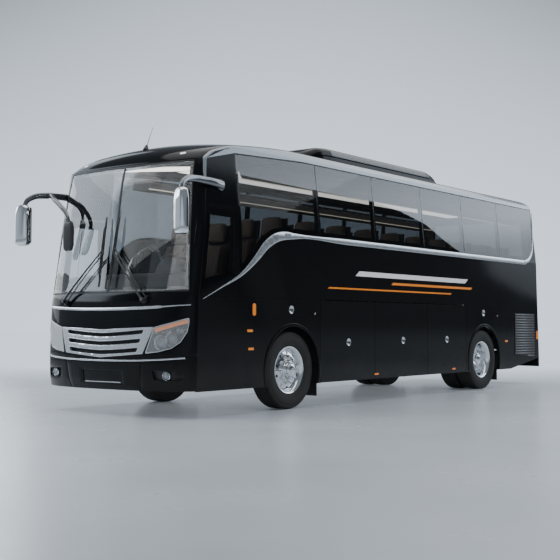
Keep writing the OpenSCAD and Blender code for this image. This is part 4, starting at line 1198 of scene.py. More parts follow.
for s, fm_, tag in ((1, LM_, "left"), (-1, RM_, "right")):
    for q, cx in enumerate((2.71, -2.71)):
        # rolled lip round the wheel opening
        a0 = -math.degrees(math.asin((0.5 - 0.315) / 0.60))
        lip = arc_pts(cx, 0.5, 0.606, a0, 180 - a0, 64) + arc_pts(cx, 0.5, 0.563, 180 - a0 + 1.5, a0 - 1.5, 64)
        patch(f"{tag}_wheel_lip_{q + 1}", lip, fm_, 0.03, "paint", off=0.011, step=0.05, bevel=0.009, segs=3)
    seam(f"{tag}_seam_a", [(-4.89, 1.421), (-2.06, 1.421)], fm_)
    seam(f"{tag}_seam_b", [(2.115, 1.421), (4.40 if s > 0 else 3.695, 1.421)], fm_)
    if s > 0:
        seam("left_seam_c", [(3.78, 0.33), (3.78, 1.66)], fm_)
        seam("left_seam_d", [(4.525, 0.33), (4.525, 1.36)], fm_)
        seam("left_seam_e", [(3.86, 2.47), (4.34, 2.47)], fm_)
        seam("left_seam_f", [(3.86, 2.50), (4.335, 2.50)], fm_)
        seam("left_seam_g", [(3.78, 1.72), (3.80, 3.16)], fm_, 0.006)
    seam(f"{tag}_seam_h", [(2.07, 1.158), (2.11, 1.158), (3.34, 1.158)], fm_, 0.004)
    seam(f"{tag}_seam_i", [(-3.235, 1.155), (-2.045, 1.155)], fm_, 0.004)
    seam(f"{tag}_seam_j", [(-3.235, 1.155), (-3.235, 1.42)], fm_, 0.004)
    seam(f"{tag}_seam_k", [(3.34, 1.158), (3.34, 1.42)], fm_, 0.004)
    seam(f"{tag}_seam_l", [(-3.77, 0.34), (-3.77, 1.42)], fm_, 0.004)
    seam(f"{tag}_seam_m", [(-3.80, 1.36), (-4.86, 1.36)], fm_, 0.003)

# slatted intake behind the rear wheels
for s, fm_, tag in ((1, LM_, "left"), (-1, RM_, "right")):
    o = rounded([(-4.755, 0.47), (-3.895, 0.55), (-3.895, 1.315), (-4.755, 1.315)], 0.02)
    patch(f"{tag}_intake_frame", o, fm_, 0.008, "paint", off=0.006, step=0.08, bevel=0.002,
          holes=[rounded([(-4.735, 0.49), (-3.915, 0.567), (-3.915, 1.295), (-4.735, 1.295)], 0.015)])
    patch(f"{tag}_intake_back", rounded([(-4.74, 0.485), (-3.91, 0.56), (-3.91, 1.30), (-4.74, 1.30)], 0.015), fm_,
          0.002,
          "mesh", off=0.0015, step=0.08, bevel=0)
    g = Geo()
    n = 17
    for q in range(n):
        z1 = 1.292 - q * (1.292 - 0.50) / n
        x0, x1 = -4.735, -3.915
        zc = z1 - 0.026
        if zc < 0.57:
            x1 = x0 + (x1 - x0) * max(0.0, (zc - 0.49) / (0.567 - 0.49))
        if x1 - x0 < 0.05:
            continue
        ys = s * 1.25
        P = [Vector((x, ys + s * dy, z)) for x in (x0, x1) for dy, z in
             ((0.002, z1), (0.0165, z1 - 0.024), (0.0165, z1 - 0.030), (0.002, z1 - 0.030))]
        g.add(P, [(0, 1, 5, 4), (1, 2, 6, 5), (2, 3, 7, 6), (3, 0, 4, 7), (0, 3, 2, 1), (4, 5, 6, 7)])
    g.made(f"{tag}_intake_slats", "plastic", smooth=30, bevel=0.001)

# handles, locks and marker lamps
HOLD = {"a": (2.745, 1.277, None), "b": (1.427, 0.844, "front"), "c": (-0.034, 0.853, "middle"),
        "d": (-1.391, 0.853, "rear"), "e": (-2.679, 1.288, None)}
for s, tag in ((1, "left"), (-1, "right")):
    for k, (x, z, door) in HOLD.items():
        g = Geo()
        at = (x, s * 1.25, z)
        g.revolve([(0.0, 0.0012), (0.036, 0.0012), (0.040, 0.003), (0.044, 0.006), (0.050, 0.006), (0.053, 0.003),
                   (0.053, -0.001)], at, (0, s, 0), 0, 40)
        g.box((x - 0.034, min(s * 1.2505, s * 1.2575), z - 0.011),
              (x + 0.034, max(s * 1.2505, s * 1.2575), z + 0.011), 1)
        g.made(f"{tag}_latch_{k}", "satin", mats=["satin", "plastic"], smooth=40, bevel=0.0012,
               body=f"{tag}_luggage_door_{door}" if door else "body")
    for k, (x, z) in {"a": (2.225, 1.232), "b": (-3.21, 1.246)}.items():
        g = Geo()
        g.revolve([(0, 0.003), (0.004, 0.003), (0.005, 0.0045), (0.013, 0.0045), (0.016, 0.002), (0.016, -0.001)],
                  (x, s * 1.25, z), (0, s, 0), 0, 24)
        g.made(f"{tag}_lock_{k}", "satin", smooth=40)
    for k, (x, z, w, h) in {"a": (3.508, 1.271, 0.030, 0.075), "b": (3.59, 1.011, 0.052, 0.030),
                            "c": (3.571, 0.789, 0.052, 0.030), "d": (-3.545, 0.802, 0.052, 0.030),
                            "e": (0.72, 0.38, 0.052, 0.024), "f": (-1.60, 0.38, 0.052, 0.024),
                            "g": (-4.86, 0.90, 0.035, 0.075)}.items():
        o = rounded([(x - w, z - h / 2), (x + w, z - h / 2), (x + w, z + h / 2), (x - w, z + h / 2)] if w > h else
                    [(x - w, z - h), (x + w, z - h), (x + w, z + h), (x - w, z + h)],
                    min(w, h) * (0.95 if k == "a" else 0.45))
        door = {"e": "front", "f": "rear"}.get(k)
        body = f"{tag}_luggage_door_{door}" if door else "body"
        patch(f"{tag}_marker_{k}", o, LM_ if s > 0 else RM_, 0.012, "amber", off=0.010, step=0.03, bevel=0.004, segs=3,
              body=body)
        patch(f"{tag}_marker_seat_{k}", grow(o, 0.005), LM_ if s > 0 else RM_, 0.004, "rubber", off=0.003, step=0.05,
              bevel=0.001, body=body)

# plain stripes on the left and right sides, one long and two short
for s, fm_, tag in ((1, LM_, "left"), (-1, RM_, "right")):
    pts = {"stripe_long": ("orange", [(1.93, 1.575), (-1.52, 1.575), (-1.56, 1.597), (1.89, 1.597)]),
           "stripe_upper": ("white", [(1.25, 1.77), (-2.02, 1.77), (-2.12, 1.84), (1.15, 1.84)]),
           "stripe_middle": ("orange", [(0.30, 1.672), (-2.22, 1.672), (-2.28, 1.708), (0.24, 1.708)])}
    for k, (mk, o) in pts.items():
        patch(f"{tag}_{k}", o, fm_, 0.0008, mk, off=0.0006, step=0.2, bevel=0)

# window seals: dark bands on the seams between the panes
for s, fm_, tag in ((1, LM_, "left"), (-1, RM_, "right")):
    for q, x in enumerate((2.110, 0.710, -0.690, -2.020, -3.350)):
        seam(f"{tag}_pane_seal_{q + 1}", [(x, 2.276), (x, 3.228)], fm_, 0.016)

# ---------------------------------------------------------------- light grey band along the roof edge
GB = "band"


def strip_uv(name, grid, m, t=0.004, off=0.003, **k):
    """Sheet from a grid of points, thickened along its own normals."""
    rows, cols = len(grid), len(grid[0])
    P = [Vector(p) for r in grid for p in r]
    F = [(a * cols + b, a * cols + b + 1, (a + 1) * cols + b + 1, (a + 1) * cols + b)
         for a in range(rows - 1) for b in range(cols - 1)]
    Nn = [Vector() for _ in P]
    for f in F:
        n = (P[f[2]] - P[f[0]]).cross(P[f[3]] - P[f[1]])
        for i in f:
            Nn[i] += n
    mid_ = Vector((0.5 if abs(P[0].x) < 4 else 0, 0, 2.2))
    flip = sum(Nn, Vector()).dot(sum(P, Vector()) / len(P) - mid_) < 0
    Nn = [(-n if flip else n).normalized() for n in Nn]
    vs, fs, _ = thick(P, Nn, F, t, off)
    return piece(name, vs, fs, m, **k)


S_LO, S_HI = s_of_z(3.244), s_of_z(3.352)
for s, tag in ((1, "left"), (-1, "right")):
    grid = []
    for k in range(9):
        sv = S_LO + (S_HI - S_LO) * k / 8
        z, w, _, nc, _, tcn = row_s(sv)
        grid.append([(nc + (tcn + 0.02 - nc) * u, s * w, z) for u in np.linspace(0, 1, 80)])
    strip_uv(f"{tag}_cant_band", grid, GB, smooth=40)
    arc = [(1.0, 3.352), (0.985, 3.342), (0.955, 3.315), (0.92, 3.27), (0.895, 3.21), (0.872, 3.14), (0.862, 3.085),
           (0.868, 3.05), (0.878, 3.02), (0.905, 2.86), (0.945, 2.80), (1.0, 2.80)]
    arc = spline([(a * K * 0.9999, z) for a, z in arc], 3)
    if s < 0:
        arc = [(-a, z) for a, z in arc]
    patch(f"{tag}_cant_band_front", arc, nose_map, 0.004, GB, off=0.003, step=0.03, bevel=0)
    fm_ = LM_ if s > 0 else RM_
    patch(f"{tag}_cant_band_side", [(4.308, 3.052), (3.862, 3.243), (2.42, 3.243), (3.78, 3.179)], fm_, 0.004, GB,
          off=0.003, step=0.06, bevel=0)
patch("screen_middle_bar", open_yz([(-17, 1474), (17, 1474), (17, 3026), (-17, 3026)]), nose_map, 0.012, "rubber",
      off=0.002, step=0.05, bevel=0.002)
for s, tag in ((1, "left"), (-1, "right")):
    o = open_yz([(s * 870, 3118), (s * 950, 3122), (s * 950, 3142), (s * 870, 3140)])
    patch(f"{tag}_brow_lamp", rounded(o, 0.008), nose_map, 0.012, "lens_white", off=0.006, step=0.03, bevel=0.003)

# ---------------------------------------------------------------- wheels
def ring_grid(prof, at, axis, n, r_of=None):
    """Closed revolve whose radius may change by place round the ring."""
    ax = Vector(axis).normalized()
    u = Vector((0, 0, 1))
    w = ax.cross(u)
    V, F = [], []
    m = len(prof)
    for j in range(n):
        a = 2 * math.pi * j / n
        d = u * math.cos(a) + w * math.sin(a)
        for k, (r, h) in enumerate(prof):
            rr = r_of(j, k, r) if r_of else r
            V.append(Vector(at) + ax * h + d * rr)
    for j in range(n):
        for k in range(m):
            a, b = j * m + k, j * m + (k + 1) % m
            c, d = ((j + 1) % n) * m + (k + 1) % m, ((j + 1) % n) * m + k
            F.append((a, d, c, b))
    return V, F


def tyre(cy, s):
    grooves = [0.0, 0.046, 0.088]
    xs = []
    for gx in grooves:
        for d, dr in ((-0.0065, 0), (-0.004, -0.011), (0.004, -0.011), (0.0065, 0)):
            xs.append((gx + d, dr))
    tread = sorted({(round(x, 5), dr) for x, dr in xs} | {(round(-x, 5), dr) for x, dr in xs})
    prof = [(0.4985 - 0.35 * (x / 0.12)**2 * 0.006 + dr, x) for x, dr in tread]
    side = [(0.4955, 0.113), (0.491, 0.124), (0.482, 0.1315), (0.468, 0.134), (0.455, 0.1365), (0.452, 0.1345),
            (0.448, 0.1368), (0.43, 0.1395), (0.405, 0.1400), (0.38, 0.1385), (0.357, 0.1345), (0.354, 0.1325),
            (0.351, 0.1335), (0.33, 0.1275), (0.318, 0.1235), (0.3155, 0.1205), (0.3125, 0.122), (0.303, 0.1165),
            (0.2965, 0.108)]
    prof = prof + side + [(0.2965, -0.108)] + [(r, -h) for r, h in side[::-1][1:]]
    n = 288

    def r_of(j, k, r):
        h = prof[k][1]
        if r > 0.485 and abs(h) > 0.097 and j % 4 == 0:
            return r - 0.0085
        if r > 0.49 and 0.055 < abs(h) < 0.08 and (j + 2) % 6 == 0:
            return r - 0.005
        if r > 0.49 and abs(h) < 0.036 and abs(h) > 0.008 and j % 6 == 0:
            return r - 0.004
        return r
    V, F = ring_grid(prof, (0, cy, 0), (0, s, 0), n, r_of)
    return V, F


def rim_front(g, at, s):
    """Polished wheel with a bowed face, ten hand holes, nuts and a hub cap."""
    at = Vector(at)
    ax = (0, s, 0)
    g.revolve([(0.262, -0.125), (0.270, -0.118), (0.2955, -0.112), (0.2962, -0.104), (0.282, -0.098), (0.262, -0.07),
               (0.258, 0.0), (0.262, 0.055), (0.281, 0.094), (0.2955, 0.104), (0.3065, 0.110), (0.309, 0.116),
               (0.306, 0.1205), (0.298, 0.1195), (0.286, 0.113), (0.272, 0.098), (0.256, 0.074), (0.250, 0.05),
               (0.248, 0.0), (0.250, -0.07), (0.262, -0.125)], at, ax, 0, 96)

    def h_of(r):
        return float(np.interp(r, [0, 0.10, 0.118, 0.135, 0.150, 0.185, 0.200, 0.225, 0.245, 0.256],
                               [0.085, 0.085, 0.086, 0.090, 0.090, 0.088, 0.084, 0.077, 0.070, 0.060]))
    circ = [(0.2555 * math.cos(a), 0.2555 * math.sin(a)) for a in np.linspace(0, 2 * math.pi, 97)[:-1]]
    holes = []
    for k in range(10):
        a = 2 * math.pi * (k + 0.5) / 10
        c, t = Vector((0.222 * math.cos(a), 0.222 * math.sin(a))), Vector((-math.sin(a), math.cos(a)))
        rd = Vector((math.cos(a), math.sin(a)))
        holes.append([tuple(c + t * 0.0205 * math.cos(b) + rd * 0.0165 * math.sin(b))
                      for b in np.linspace(0, 2 * math.pi, 21)[:-1]])
    V2, T = fill(circ, holes, 0.016)
    P, Nn = [], []
    for x, z in V2:
        r = math.hypot(x, z)
        P.append(at + Vector((x, s * h_of(r), z)))
        sl = (h_of(r + 0.003) - h_of(max(0, r - 0.003))) / 0.006
        d = Vector((x, 0, z)).normalized() if r > 1e-6 else Vector((1, 0, 0))
        Nn.append((Vector((0, s, 0)) - d * sl).normalized())
    vs, fs, _ = thick(P, Nn, [tuple(t) for t in T.tolist()], 0.012)
    g.add(vs, fs, 0)
    hub_parts(g, at, s, 0.090, 0.1675, 0.150)


def hub_parts(g, at, s, face, bolt, top):
    """Nuts on their circle and the hub with its cap, face and top being heights along the axle."""
    at = Vector(at)
    ax = (0, s, 0)
    for k in range(10):
        a = 2 * math.pi * k / 10
        c = at + Vector((bolt * math.cos(a), 0, bolt * math.sin(a)))
        g.revolve([(0.0225, face - 0.002), (0.0225, face + 0.003), (0.019, face + 0.006), (0, face + 0.006)], c, ax,
                  0, 20)
        g.revolve([(0.0165, face + 0.004), (0.0165, face + 0.022), (0.0145, face + 0.026), (0, face + 0.026)], c, ax,
                  0, 6)
        g.revolve([(0.0095, face + 0.024), (0.0095, face + 0.034), (0.007, face + 0.037), (0, face + 0.037)], c, ax,
                  0, 12)
    g.revolve([(0.140, face - 0.004), (0.140, face + 0.004), (0.134, face + 0.010), (0.124, face + 0.011),
               (0.117, face + 0.018), (0.112, top - 0.02), (0.104, top - 0.008), (0.092, top - 0.004),
               (0.088, top - 0.004),
               (0.086, top + 0.002), (0.078, top + 0.012), (0.060, top + 0.020), (0.036, top + 0.024),
               (0.030, top + 0.024), (0.028, top + 0.022), (0.012, top + 0.022), (0, top + 0.023)], at, ax, 0, 56)
    for k in range(8):
        a = 2 * math.pi * (k + 0.5) / 8
        c = at + Vector((0.098 * math.cos(a), 0, 0.098 * math.sin(a)))
        g.revolve([(0.006, top - 0.008), (0.006, top - 0.0005), (0.0045, top + 0.001), (0, top + 0.001)], c, ax, 1, 6)


def rim_rear(g, at, s):
    """Dished wheel of a twin pair: deep barrel with its face set far in."""
    at = Vector(at)
    ax = (0, s, 0)
    g.revolve([(0.262, -0.120), (0.2955, -0.112), (0.2962, -0.104), (0.282, -0.098), (0.262, -0.07), (0.258, 0.0),
               (0.262, 0.055), (0.281, 0.094), (0.2955, 0.104), (0.3065, 0.110), (0.309, 0.116), (0.306, 0.1205),
               (0.298, 0.1195), (0.286, 0.113), (0.272, 0.098), (0.258, 0.070), (0.250, 0.045), (0.246, 0.0),
               (0.238, -0.05), (0.222, -0.085), (0.206, -0.100), (0.198, -0.112), (0.210, -0.115), (0.245, -0.095),
               (0.262, -0.120)], at, ax, 0, 96)

    def h_of(r):
        return float(np.interp(r, [0, 0.19, 0.205, 0.222, 0.238], [-0.104, -0.104, -0.100, -0.088, -0.055]))
    circ = [(0.236 * math.cos(a), 0.236 * math.sin(a)) for a in np.linspace(0, 2 * math.pi, 97)[:-1]]
    holes = []
    for k in range(10):
        a = 2 * math.pi * (k + 0.5) / 10
        c = Vector((0.206 * math.cos(a), 0.206 * math.sin(a)))
        holes.append([tuple(c + Vector((0.017 * math.cos(b), 0.017 * math.sin(b))))
                      for b in np.linspace(0, 2 * math.pi, 19)[:-1]])
    V2, T = fill(circ, holes, 0.018)
    P, Nn = [], []
    for x, z in V2:
        r = math.hypot(x, z)
        P.append(at + Vector((x, s * h_of(r), z)))
        sl = (h_of(r + 0.003) - h_of(max(0, r - 0.003))) / 0.006
        d = Vector((x, 0, z)).normalized() if r > 1e-6 else Vector((1, 0, 0))
        Nn.append((Vector((0, s, 0)) - d * sl).normalized())
    vs, fs, _ = thick(P, Nn, [tuple(t) for t in T.tolist()], 0.010)
    g.add(vs, fs, 0)
    hub_parts(g, at, s, -0.102, 0.1675, 0.055)


for fr, cx in (("front", 2.71), ("rear", -2.71)):
    for s, sd in ((1, "left"), (-1, "right")):
        body = f"{fr}_{sd}_wheel"
        ty = "tyre" if fr == "front" else "tyres"
        V, F = [], []
        for cy in ((1.07,) if fr == "front" else (1.075, 0.765)):
            v, f = tyre(s * cy, s)
            n0 = len(V)
            V += [q + Vector((cx, 0, 0.5)) for q in v]
            F += [tuple(i + n0 for i in t) for t in f]
        piece(f"{fr}_{sd}_tread", V, F, "tyre", body=body, smooth=32, rep=(f"{fr}_{sd}_{ty}",))
        g = Geo()
        if fr == "front":
            rim_front(g, (cx, s * 1.07, 0.5), s)
        else:
            rim_rear(g, (cx, s * 1.075, 0.5), s)
            g.revolve([(0.262, -0.125), (0.2955, -0.112), (0.2962, -0.104), (0.262, -0.07), (0.258, 0.0), (0.262, 0.07),
                       (0.2955, 0.104), (0.298, 0.118), (0.27, 0.10), (0.248, 0.05), (0.246, -0.07), (0.262, -0.125)],
                      (cx, s * 0.765, 0.5), (0, s, 0), 0, 64)
            g.revolve([(0, 0.10), (0.20, 0.10), (0.235, 0.085), (0.25, 0.05), (0.245, 0.04), (0.19, 0.085), (0, 0.085)],
                      (cx, s * 0.765, 0.5), (0, s, 0), 0, 64)
        # valve
        g.tube([(cx + 0.235, s * (1.07 + 0.06), 0.5), (cx + 0.222, s * (1.07 + 0.10), 0.5)] if fr == "front" else
               [(cx + 0.24, s * 1.08, 0.5), (cx + 0.225, s * 1.15, 0.5)], 0.004, 1, 8)
        g.made(f"{fr}_{sd}_alloy", "rim", mats=["rim", "steelwheel"], body=body, smooth=35,
               rep=(f"{fr}_{sd}_rim" if fr == "front" else f"{fr}_{sd}_rims",))

# ---------------------------------------------------------------- mirrors
def flat_tube(path, hs, ts, up=(0, 0, 1), n=20):
    """Tube of oval section: hs half heights along up, ts half thicknesses across."""
    path = [Vector(p) for p in path]
    V, F = [], []
    for k, p in enumerate(path):
        a, b = path[max(0, k - 1)], path[min(len(path) - 1, k + 1)]
        t = (b - a).normalized()
        u = (Vector(up) - t * Vector(up).dot(t)).normalized() if abs(t.dot(Vector(up))) < 0.97 else \
            (Vector((1, 0, 0)) - t * t.x).normalized()
        w = t.cross(u)
        for j in range(n):
            q = 2 * math.pi * j / n
            c, sn = math.cos(q), math.sin(q)
            e = 0.75
            V.append(p + u * hs[k] * math.copysign(abs(c)**e, c) + w * ts[k] * math.copysign(abs(sn)**e, sn))
    m = len(path)
    for k in range(m - 1):
        for j in range(n):
            F.append((k * n + j, k * n + (j + 1) % n, (k + 1) * n + (j + 1) % n, (k + 1) * n + j))
    F.append(tuple(range(n - 1, -1, -1)))
    F.append(tuple((m - 1) * n + j for j in range(n)))
    return V, F


def lerp_list(vals, n):
    return list(np.interp(np.linspace(0, len(vals) - 1, n), range(len(vals)), vals))


for s, tag in ((1, "left"), (-1, "right")):
    arm = spline([(4.085, s * 1.225, 2.750), (4.25, s * 1.262, 2.757), (4.45, s * 1.275, 2.762),
                  (4.66, s * 1.30, 2.757),
                  (4.83, s * 1.335, 2.725), (4.915, s * 1.362, 2.665), (4.945, s * 1.378, 2.585),
                  (4.95, s * 1.385, 2.50)], 6)
    n = len(arm)
    V, F = flat_tube(arm, lerp_list([0.050, 0.048, 0.044, 0.041, 0.037, 0.033, 0.029, 0.027], n),
                     lerp_list([0.038, 0.036, 0.031, 0.028, 0.027, 0.026, 0.025, 0.024], n), up=(0.25, 0, 1))
    g = Geo().add(V, F)
    g.revolve([(0, 0.012), (0.058, 0.012), (0.066, 0.006), (0.068, -0.02), (0, -0.02)], (4.085, s * 1.204, 2.75),
              (0, s, 0.09), 0, 40)
    g.made(f"{tag}_mirror_arm", "arm", smooth=42, rep=("exterior_mirrors",) if s > 0 else ())
    # head: rounded case of changing section, glass towards the rear
    c0 = Vector((4.944, s * 1.385, 0))
    yaw_ = -s * math.radians(16)
    R_ = Matrix.Rotation(yaw_, 4, "Z")
    levels = [(2.094, 0.60, 0.55), (2.099, 0.74, 0.74), (2.112, 0.86, 0.88), (2.135, 0.94, 0.96), (2.175, 0.985, 1.0),
              (2.25, 1.0, 1.0), (2.36, 1.0, 1.0), (2.47, 0.99, 0.98), (2.53, 0.95, 0.93), (2.575, 0.86, 0.84),
              (2.602, 0.70, 0.68), (2.618, 0.45, 0.45)]
    V, F, n = [], [], 40
    for z, fx, fy in levels:
        for j in range(n):
            q = 2 * math.pi * j / n
            c, sn = math.cos(q), math.sin(q)
            x = math.copysign(abs(c)**0.62, c)
            y = math.copysign(abs(sn)**0.55, sn)
            x = x * (0.080 if x > 0 else 0.052)
            V.append(c0 + R_ @ Vector((x * fx, y * 0.098 * fy, 0)) + Vector((0, 0, z)))
    for k in range(len(levels) - 1):
        for j in range(n):
            F.append((k * n + j, k * n + (j + 1) % n, (k + 1) * n + (j + 1) % n, (k + 1) * n + j))
    F.append(tuple(range(n - 1, -1, -1)))
    F.append(tuple((len(levels) - 1) * n + j for j in range(n)))
    piece(f"{tag}_mirror_case", V, F, "chrome", smooth=40, bevel=0.003)
    g = Geo()
    for (w_, z0, z1, x, i) in ((0.090, 2.125, 2.590, -0.0545, 0),):
        o = rounded([(-w_, z0), (w_, z0), (w_, z1), (-w_, z1)], 0.03, 6)
        for dx, key, sc in ((-0.052, 0, 1.0), (-0.058, 1, 0.90)):
            zc = (z0 + z1) / 2
            P = [c0 + R_ @ Vector((dx, y * sc, 0)) + Vector((0, 0, zc + (z - zc) * (0.5 + sc / 2))) for y, z in o]
            Q = [p + R_ @ Vector((0.006, 0, 0)) for p in P]
            m = len(P)
            g.add(P + Q, [tuple(range(m)), tuple(range(2 * m - 1, m - 1, -1))]
                  + [(a, (a + 1) % m, m + (a + 1) % m, m + a) for a in range(m)], key)
    g.made(f"{tag}_mirror_glass", "plastic", mats=["plastic", "mirror"], smooth=30)
# kerb-side arm's lower leg with its small mirror in front of the screen
leg = spline([(4.60, -1.292, 2.757), (4.70, -1.10, 2.70), (4.735, -0.93, 2.60), (4.755, -0.78, 2.47),
              (4.76, -0.745, 2.40),
              (4.76, -0.760, 2.375)], 6)
V, F = flat_tube(leg, lerp_list([0.036, 0.034, 0.031, 0.029, 0.026, 0.02], len(leg)), lerp_list([0.024] * 6, len(leg)),
                 up=(0.3, 0.3, 1))
piece("right_mirror_leg", V, F, "arm", smooth=42)
V, F, n = [], [], 32
for z, f_ in ((2.010, 0.50), (2.018, 0.72), (2.04, 0.9), (2.09, 1.0), (2.30, 1.0), (2.35, 0.9), (2.372, 0.72),
              (2.382, 0.45)):
    for j in range(n):
        q = 2 * math.pi * j / n
        c, sn = math.cos(q), math.sin(q)
        V.append(Vector((4.762 + 0.026 * math.copysign(abs(c)**0.6, c) * f_,
                         -0.73 + 0.088 * math.copysign(abs(sn)**0.6, sn) * f_, z)))
for k in range(7):
    for j in range(n):
        F.append((k * n + j, k * n + (j + 1) % n, (k + 1) * n + (j + 1) % n, (k + 1) * n + j))
F.append(tuple(range(n - 1, -1, -1)))
F.append(tuple(7 * n + j for j in range(n)))
piece("right_small_mirror", V, F, "plastic", smooth=40, bevel=0.002)
o = rounded([(-0.070, 2.045), (0.070, 2.045), (0.070, 2.348), (-0.070, 2.348)], 0.04, 6)
P = [Vector((4.762 - 0.028, -0.73 + y, z)) for y, z in o]
Q = [p + Vector((0.004, 0, 0)) for p in P]
m = len(P)
piece("right_small_mirror_glass", P + Q, [tuple(range(m)), tuple(range(2 * m - 1, m - 1, -1))]
      + [(a, (a + 1) % m, m + (a + 1) % m, m + a) for a in range(m)], "mirror", smooth=30)

# ---------------------------------------------------------------- wipers
g = Geo()
for (p, e, b1, b2) in (((4.795, 0.64, 1.370), (4.715, 0.02, 1.985), (4.795, 0.075, 1.54), (4.635, 0.075, 2.39)),
                       ((4.780, -0.76, 1.370), (4.715, -0.215, 1.975), (4.795, -0.11, 1.54), (4.632, -0.15, 2.40))):
    p, e, b1, b2 = map(Vector, (p, e, b1, b2))
    out = Vector((1, 0, 0.18)).normalized()
    mid_b = (b1 + b2) / 2 + out * 0.03
    g.revolve([(0, 0.05), (0.020, 0.05), (0.024, 0.044), (0.026, 0.0), (0.034, -0.004), (0.034, -0.05), (0, -0.05)],
              p, out, 1, 28)
    d = (mid_b - p).normalized()
    n_ = d.cross(out).normalized()
    pts = [p + out * 0.035, p + d * 0.12 + out * 0.038, p + d * 0.5 + out * 0.03, mid_b + out * 0.012]
    g.tube(spline([tuple(q) for q in pts], 5), lerp_list([0.014, 0.013, 0.010, 0.008], 16), 1, 10)
    low = [p + n_ * 0.055 + out * 0.02, p + d * 0.2 + n_ * 0.05 + out * 0.03, p + d * 0.6 + n_ * 0.04 + out * 0.02,
           mid_b + n_ * 0.035]
    g.tube(spline([tuple(q) for q in low], 4), 0.0075, 1, 8)
    g.revolve([(0, 0.02), (0.014, 0.02), (0.016, 0), (0.016, -0.02), (0, -0.02)], p + n_ * 0.055, out, 1, 20)
    g.tube([mid_b + n_ * 0.045, mid_b - n_ * 0.012], 0.012, 1, 10)
    # blade: rubber lip, carrier and bridges
    ax = (b2 - b1).normalized()
    L_ = (b2 - b1).length
    for q in np.linspace(0, 1, 2)[:1]:
        w_ = ax.cross(out).normalized()
        sec = [w_ * 0.003 - out * 0.006, w_ * 0.009 + out * 0.004, w_ * 0.007 + out * 0.014, -w_ * 0.007 + out * 0.014,
               -w_ * 0.009 + out * 0.004, -w_ * 0.003 - out * 0.006]
        rows = [b1 + ax * L_ * k / 12 + out * 0.012 for k in range(13)]
        V = [r_ + c_ for r_ in rows for c_ in sec]
        F = [(k * 6 + j, k * 6 + (j + 1) % 6, (k + 1) * 6 + (j + 1) % 6,
              (k + 1) * 6 + j) for k in range(12) for j in range(6)]
        F += [(5, 4, 3, 2, 1, 0), tuple(72 + j for j in range(6))]
        g.add(V, F, 0)
    for c_ in (0.22, 0.5, 0.78):
        m_ = b1 + ax * L_ * c_
        g.tube([m_ - ax * 0.10 + out * 0.022, m_ - ax * 0.04 + out * 0.040, m_ + ax * 0.04 + out * 0.040,
                m_ + ax * 0.10 + out * 0.022], 0.0065, 1, 8)
    g.tube([b1 + ax * L_ * 0.2 + out * 0.042, mid_b + out * 0.012, b1 + ax * L_ * 0.8 + out * 0.042], 0.0075, 1, 8)
g.made("wiper_set", "rubber", mats=["rubber", "plastic"], smooth=40, rep=("wipers",))

# ---------------------------------------------------------------- roof unit and aerial
def unit_top(x):
    return float(np.interp(x, [-1.900, -1.87, -1.80, -1.60, 1.28, 1.40, 1.50, 1.585, 1.64, 1.668],
                           [3.430, 3.520, 3.575, 3.636, 3.638, 3.628, 3.60, 3.555, 3.50, 3.43]))


def unit_half(x):
    return float(np.interp(x, [-1.9, -1.86, -1.75, 1.2, 1.45, 1.60, 1.67],
                           [0.78, 0.83, 0.848, 0.848, 0.83, 0.77, 0.68]))


xs = list(np.linspace(-1.9, -1.6, 9)) + list(np.linspace(-1.55, 1.25, 30)) + list(np.linspace(1.28, 1.668, 16))
SEC = [(1.0, 0.0), (1.0, 0.12), (0.997, 0.30), (0.990, 0.42), (0.975, 0.445), (0.968, 0.47), (0.972, 0.50),
       (0.965, 0.60),
       (0.945, 0.74), (0.915, 0.86), (0.87, 0.945), (0.80, 0.985), (0.70, 0.995), (0.45, 0.99), (0.40, 1.0), (0.2, 1.0),
       (0.0, 1.0)]
V, F = [], []
row = SEC + [(-a, b) for a, b in SEC[-2::-1]]
for x in xs:
    w_, t_ = unit_half(x), unit_top(x)
    for a, b in row:
        yb = abs(a) * w_
        zb = 3.385 if yb > 0.6 else 3.40
        V.append(Vector((x, a * w_, zb + (t_ - zb) * b)))
m = len(row)
F = [(k * m + j, (k + 1) * m + j, (k + 1) * m + j + 1, k * m + j + 1) for k in range(len(xs) - 1) for j in range(m - 1)]
F += [(k * m, k * m + m - 1, (k + 1) * m + m - 1, (k + 1) * m) for k in range(len(xs) - 1)]
F += [tuple(range(m)), tuple((len(xs) - 1) * m + j for j in range(m - 1, -1, -1))]
bm = bmesh.new()
vs = [bm.verts.new(v) for v in V]
for f in F:
    bm.faces.new([vs[i] for i in f])
bmesh.ops.recalc_face_normals(bm, faces=bm.faces)
V, F = [v.co.copy() for v in bm.verts], [tuple(v.index for v in f.verts) for f in bm.faces]
bm.free()
piece("roof_unit_case", V, F, "paint", smooth=32, rep=("roof_air_conditioner",), slot="unit_housing")
for s, tag in ((1, "left"), (-1, "right")):
    for nm, b0, b1_, x0, x1, key, o_ in (("panel", 0.50, 0.80, -1.50, 1.22, "unit", 0.006),
                                         ("line", 0.12, 0.20, -1.72, 1.42, "satin", 0.005)):
        grid = []
        for b in np.linspace(b0, b1_, 6):
            r_ = []
            for x in np.linspace(x0, x1, 40):
                a = float(np.interp(b, [q[1] for q in SEC[:12]], [q[0] for q in SEC[:12]]))
                r_.append((x, s * a * unit_half(x), 3.385 + (unit_top(x) - 3.385) * b))
            grid.append(r_)
        strip_uv(f"{tag}_unit_{nm}", grid, key, t=0.006, off=o_, bevel=0.001)
g = Geo()
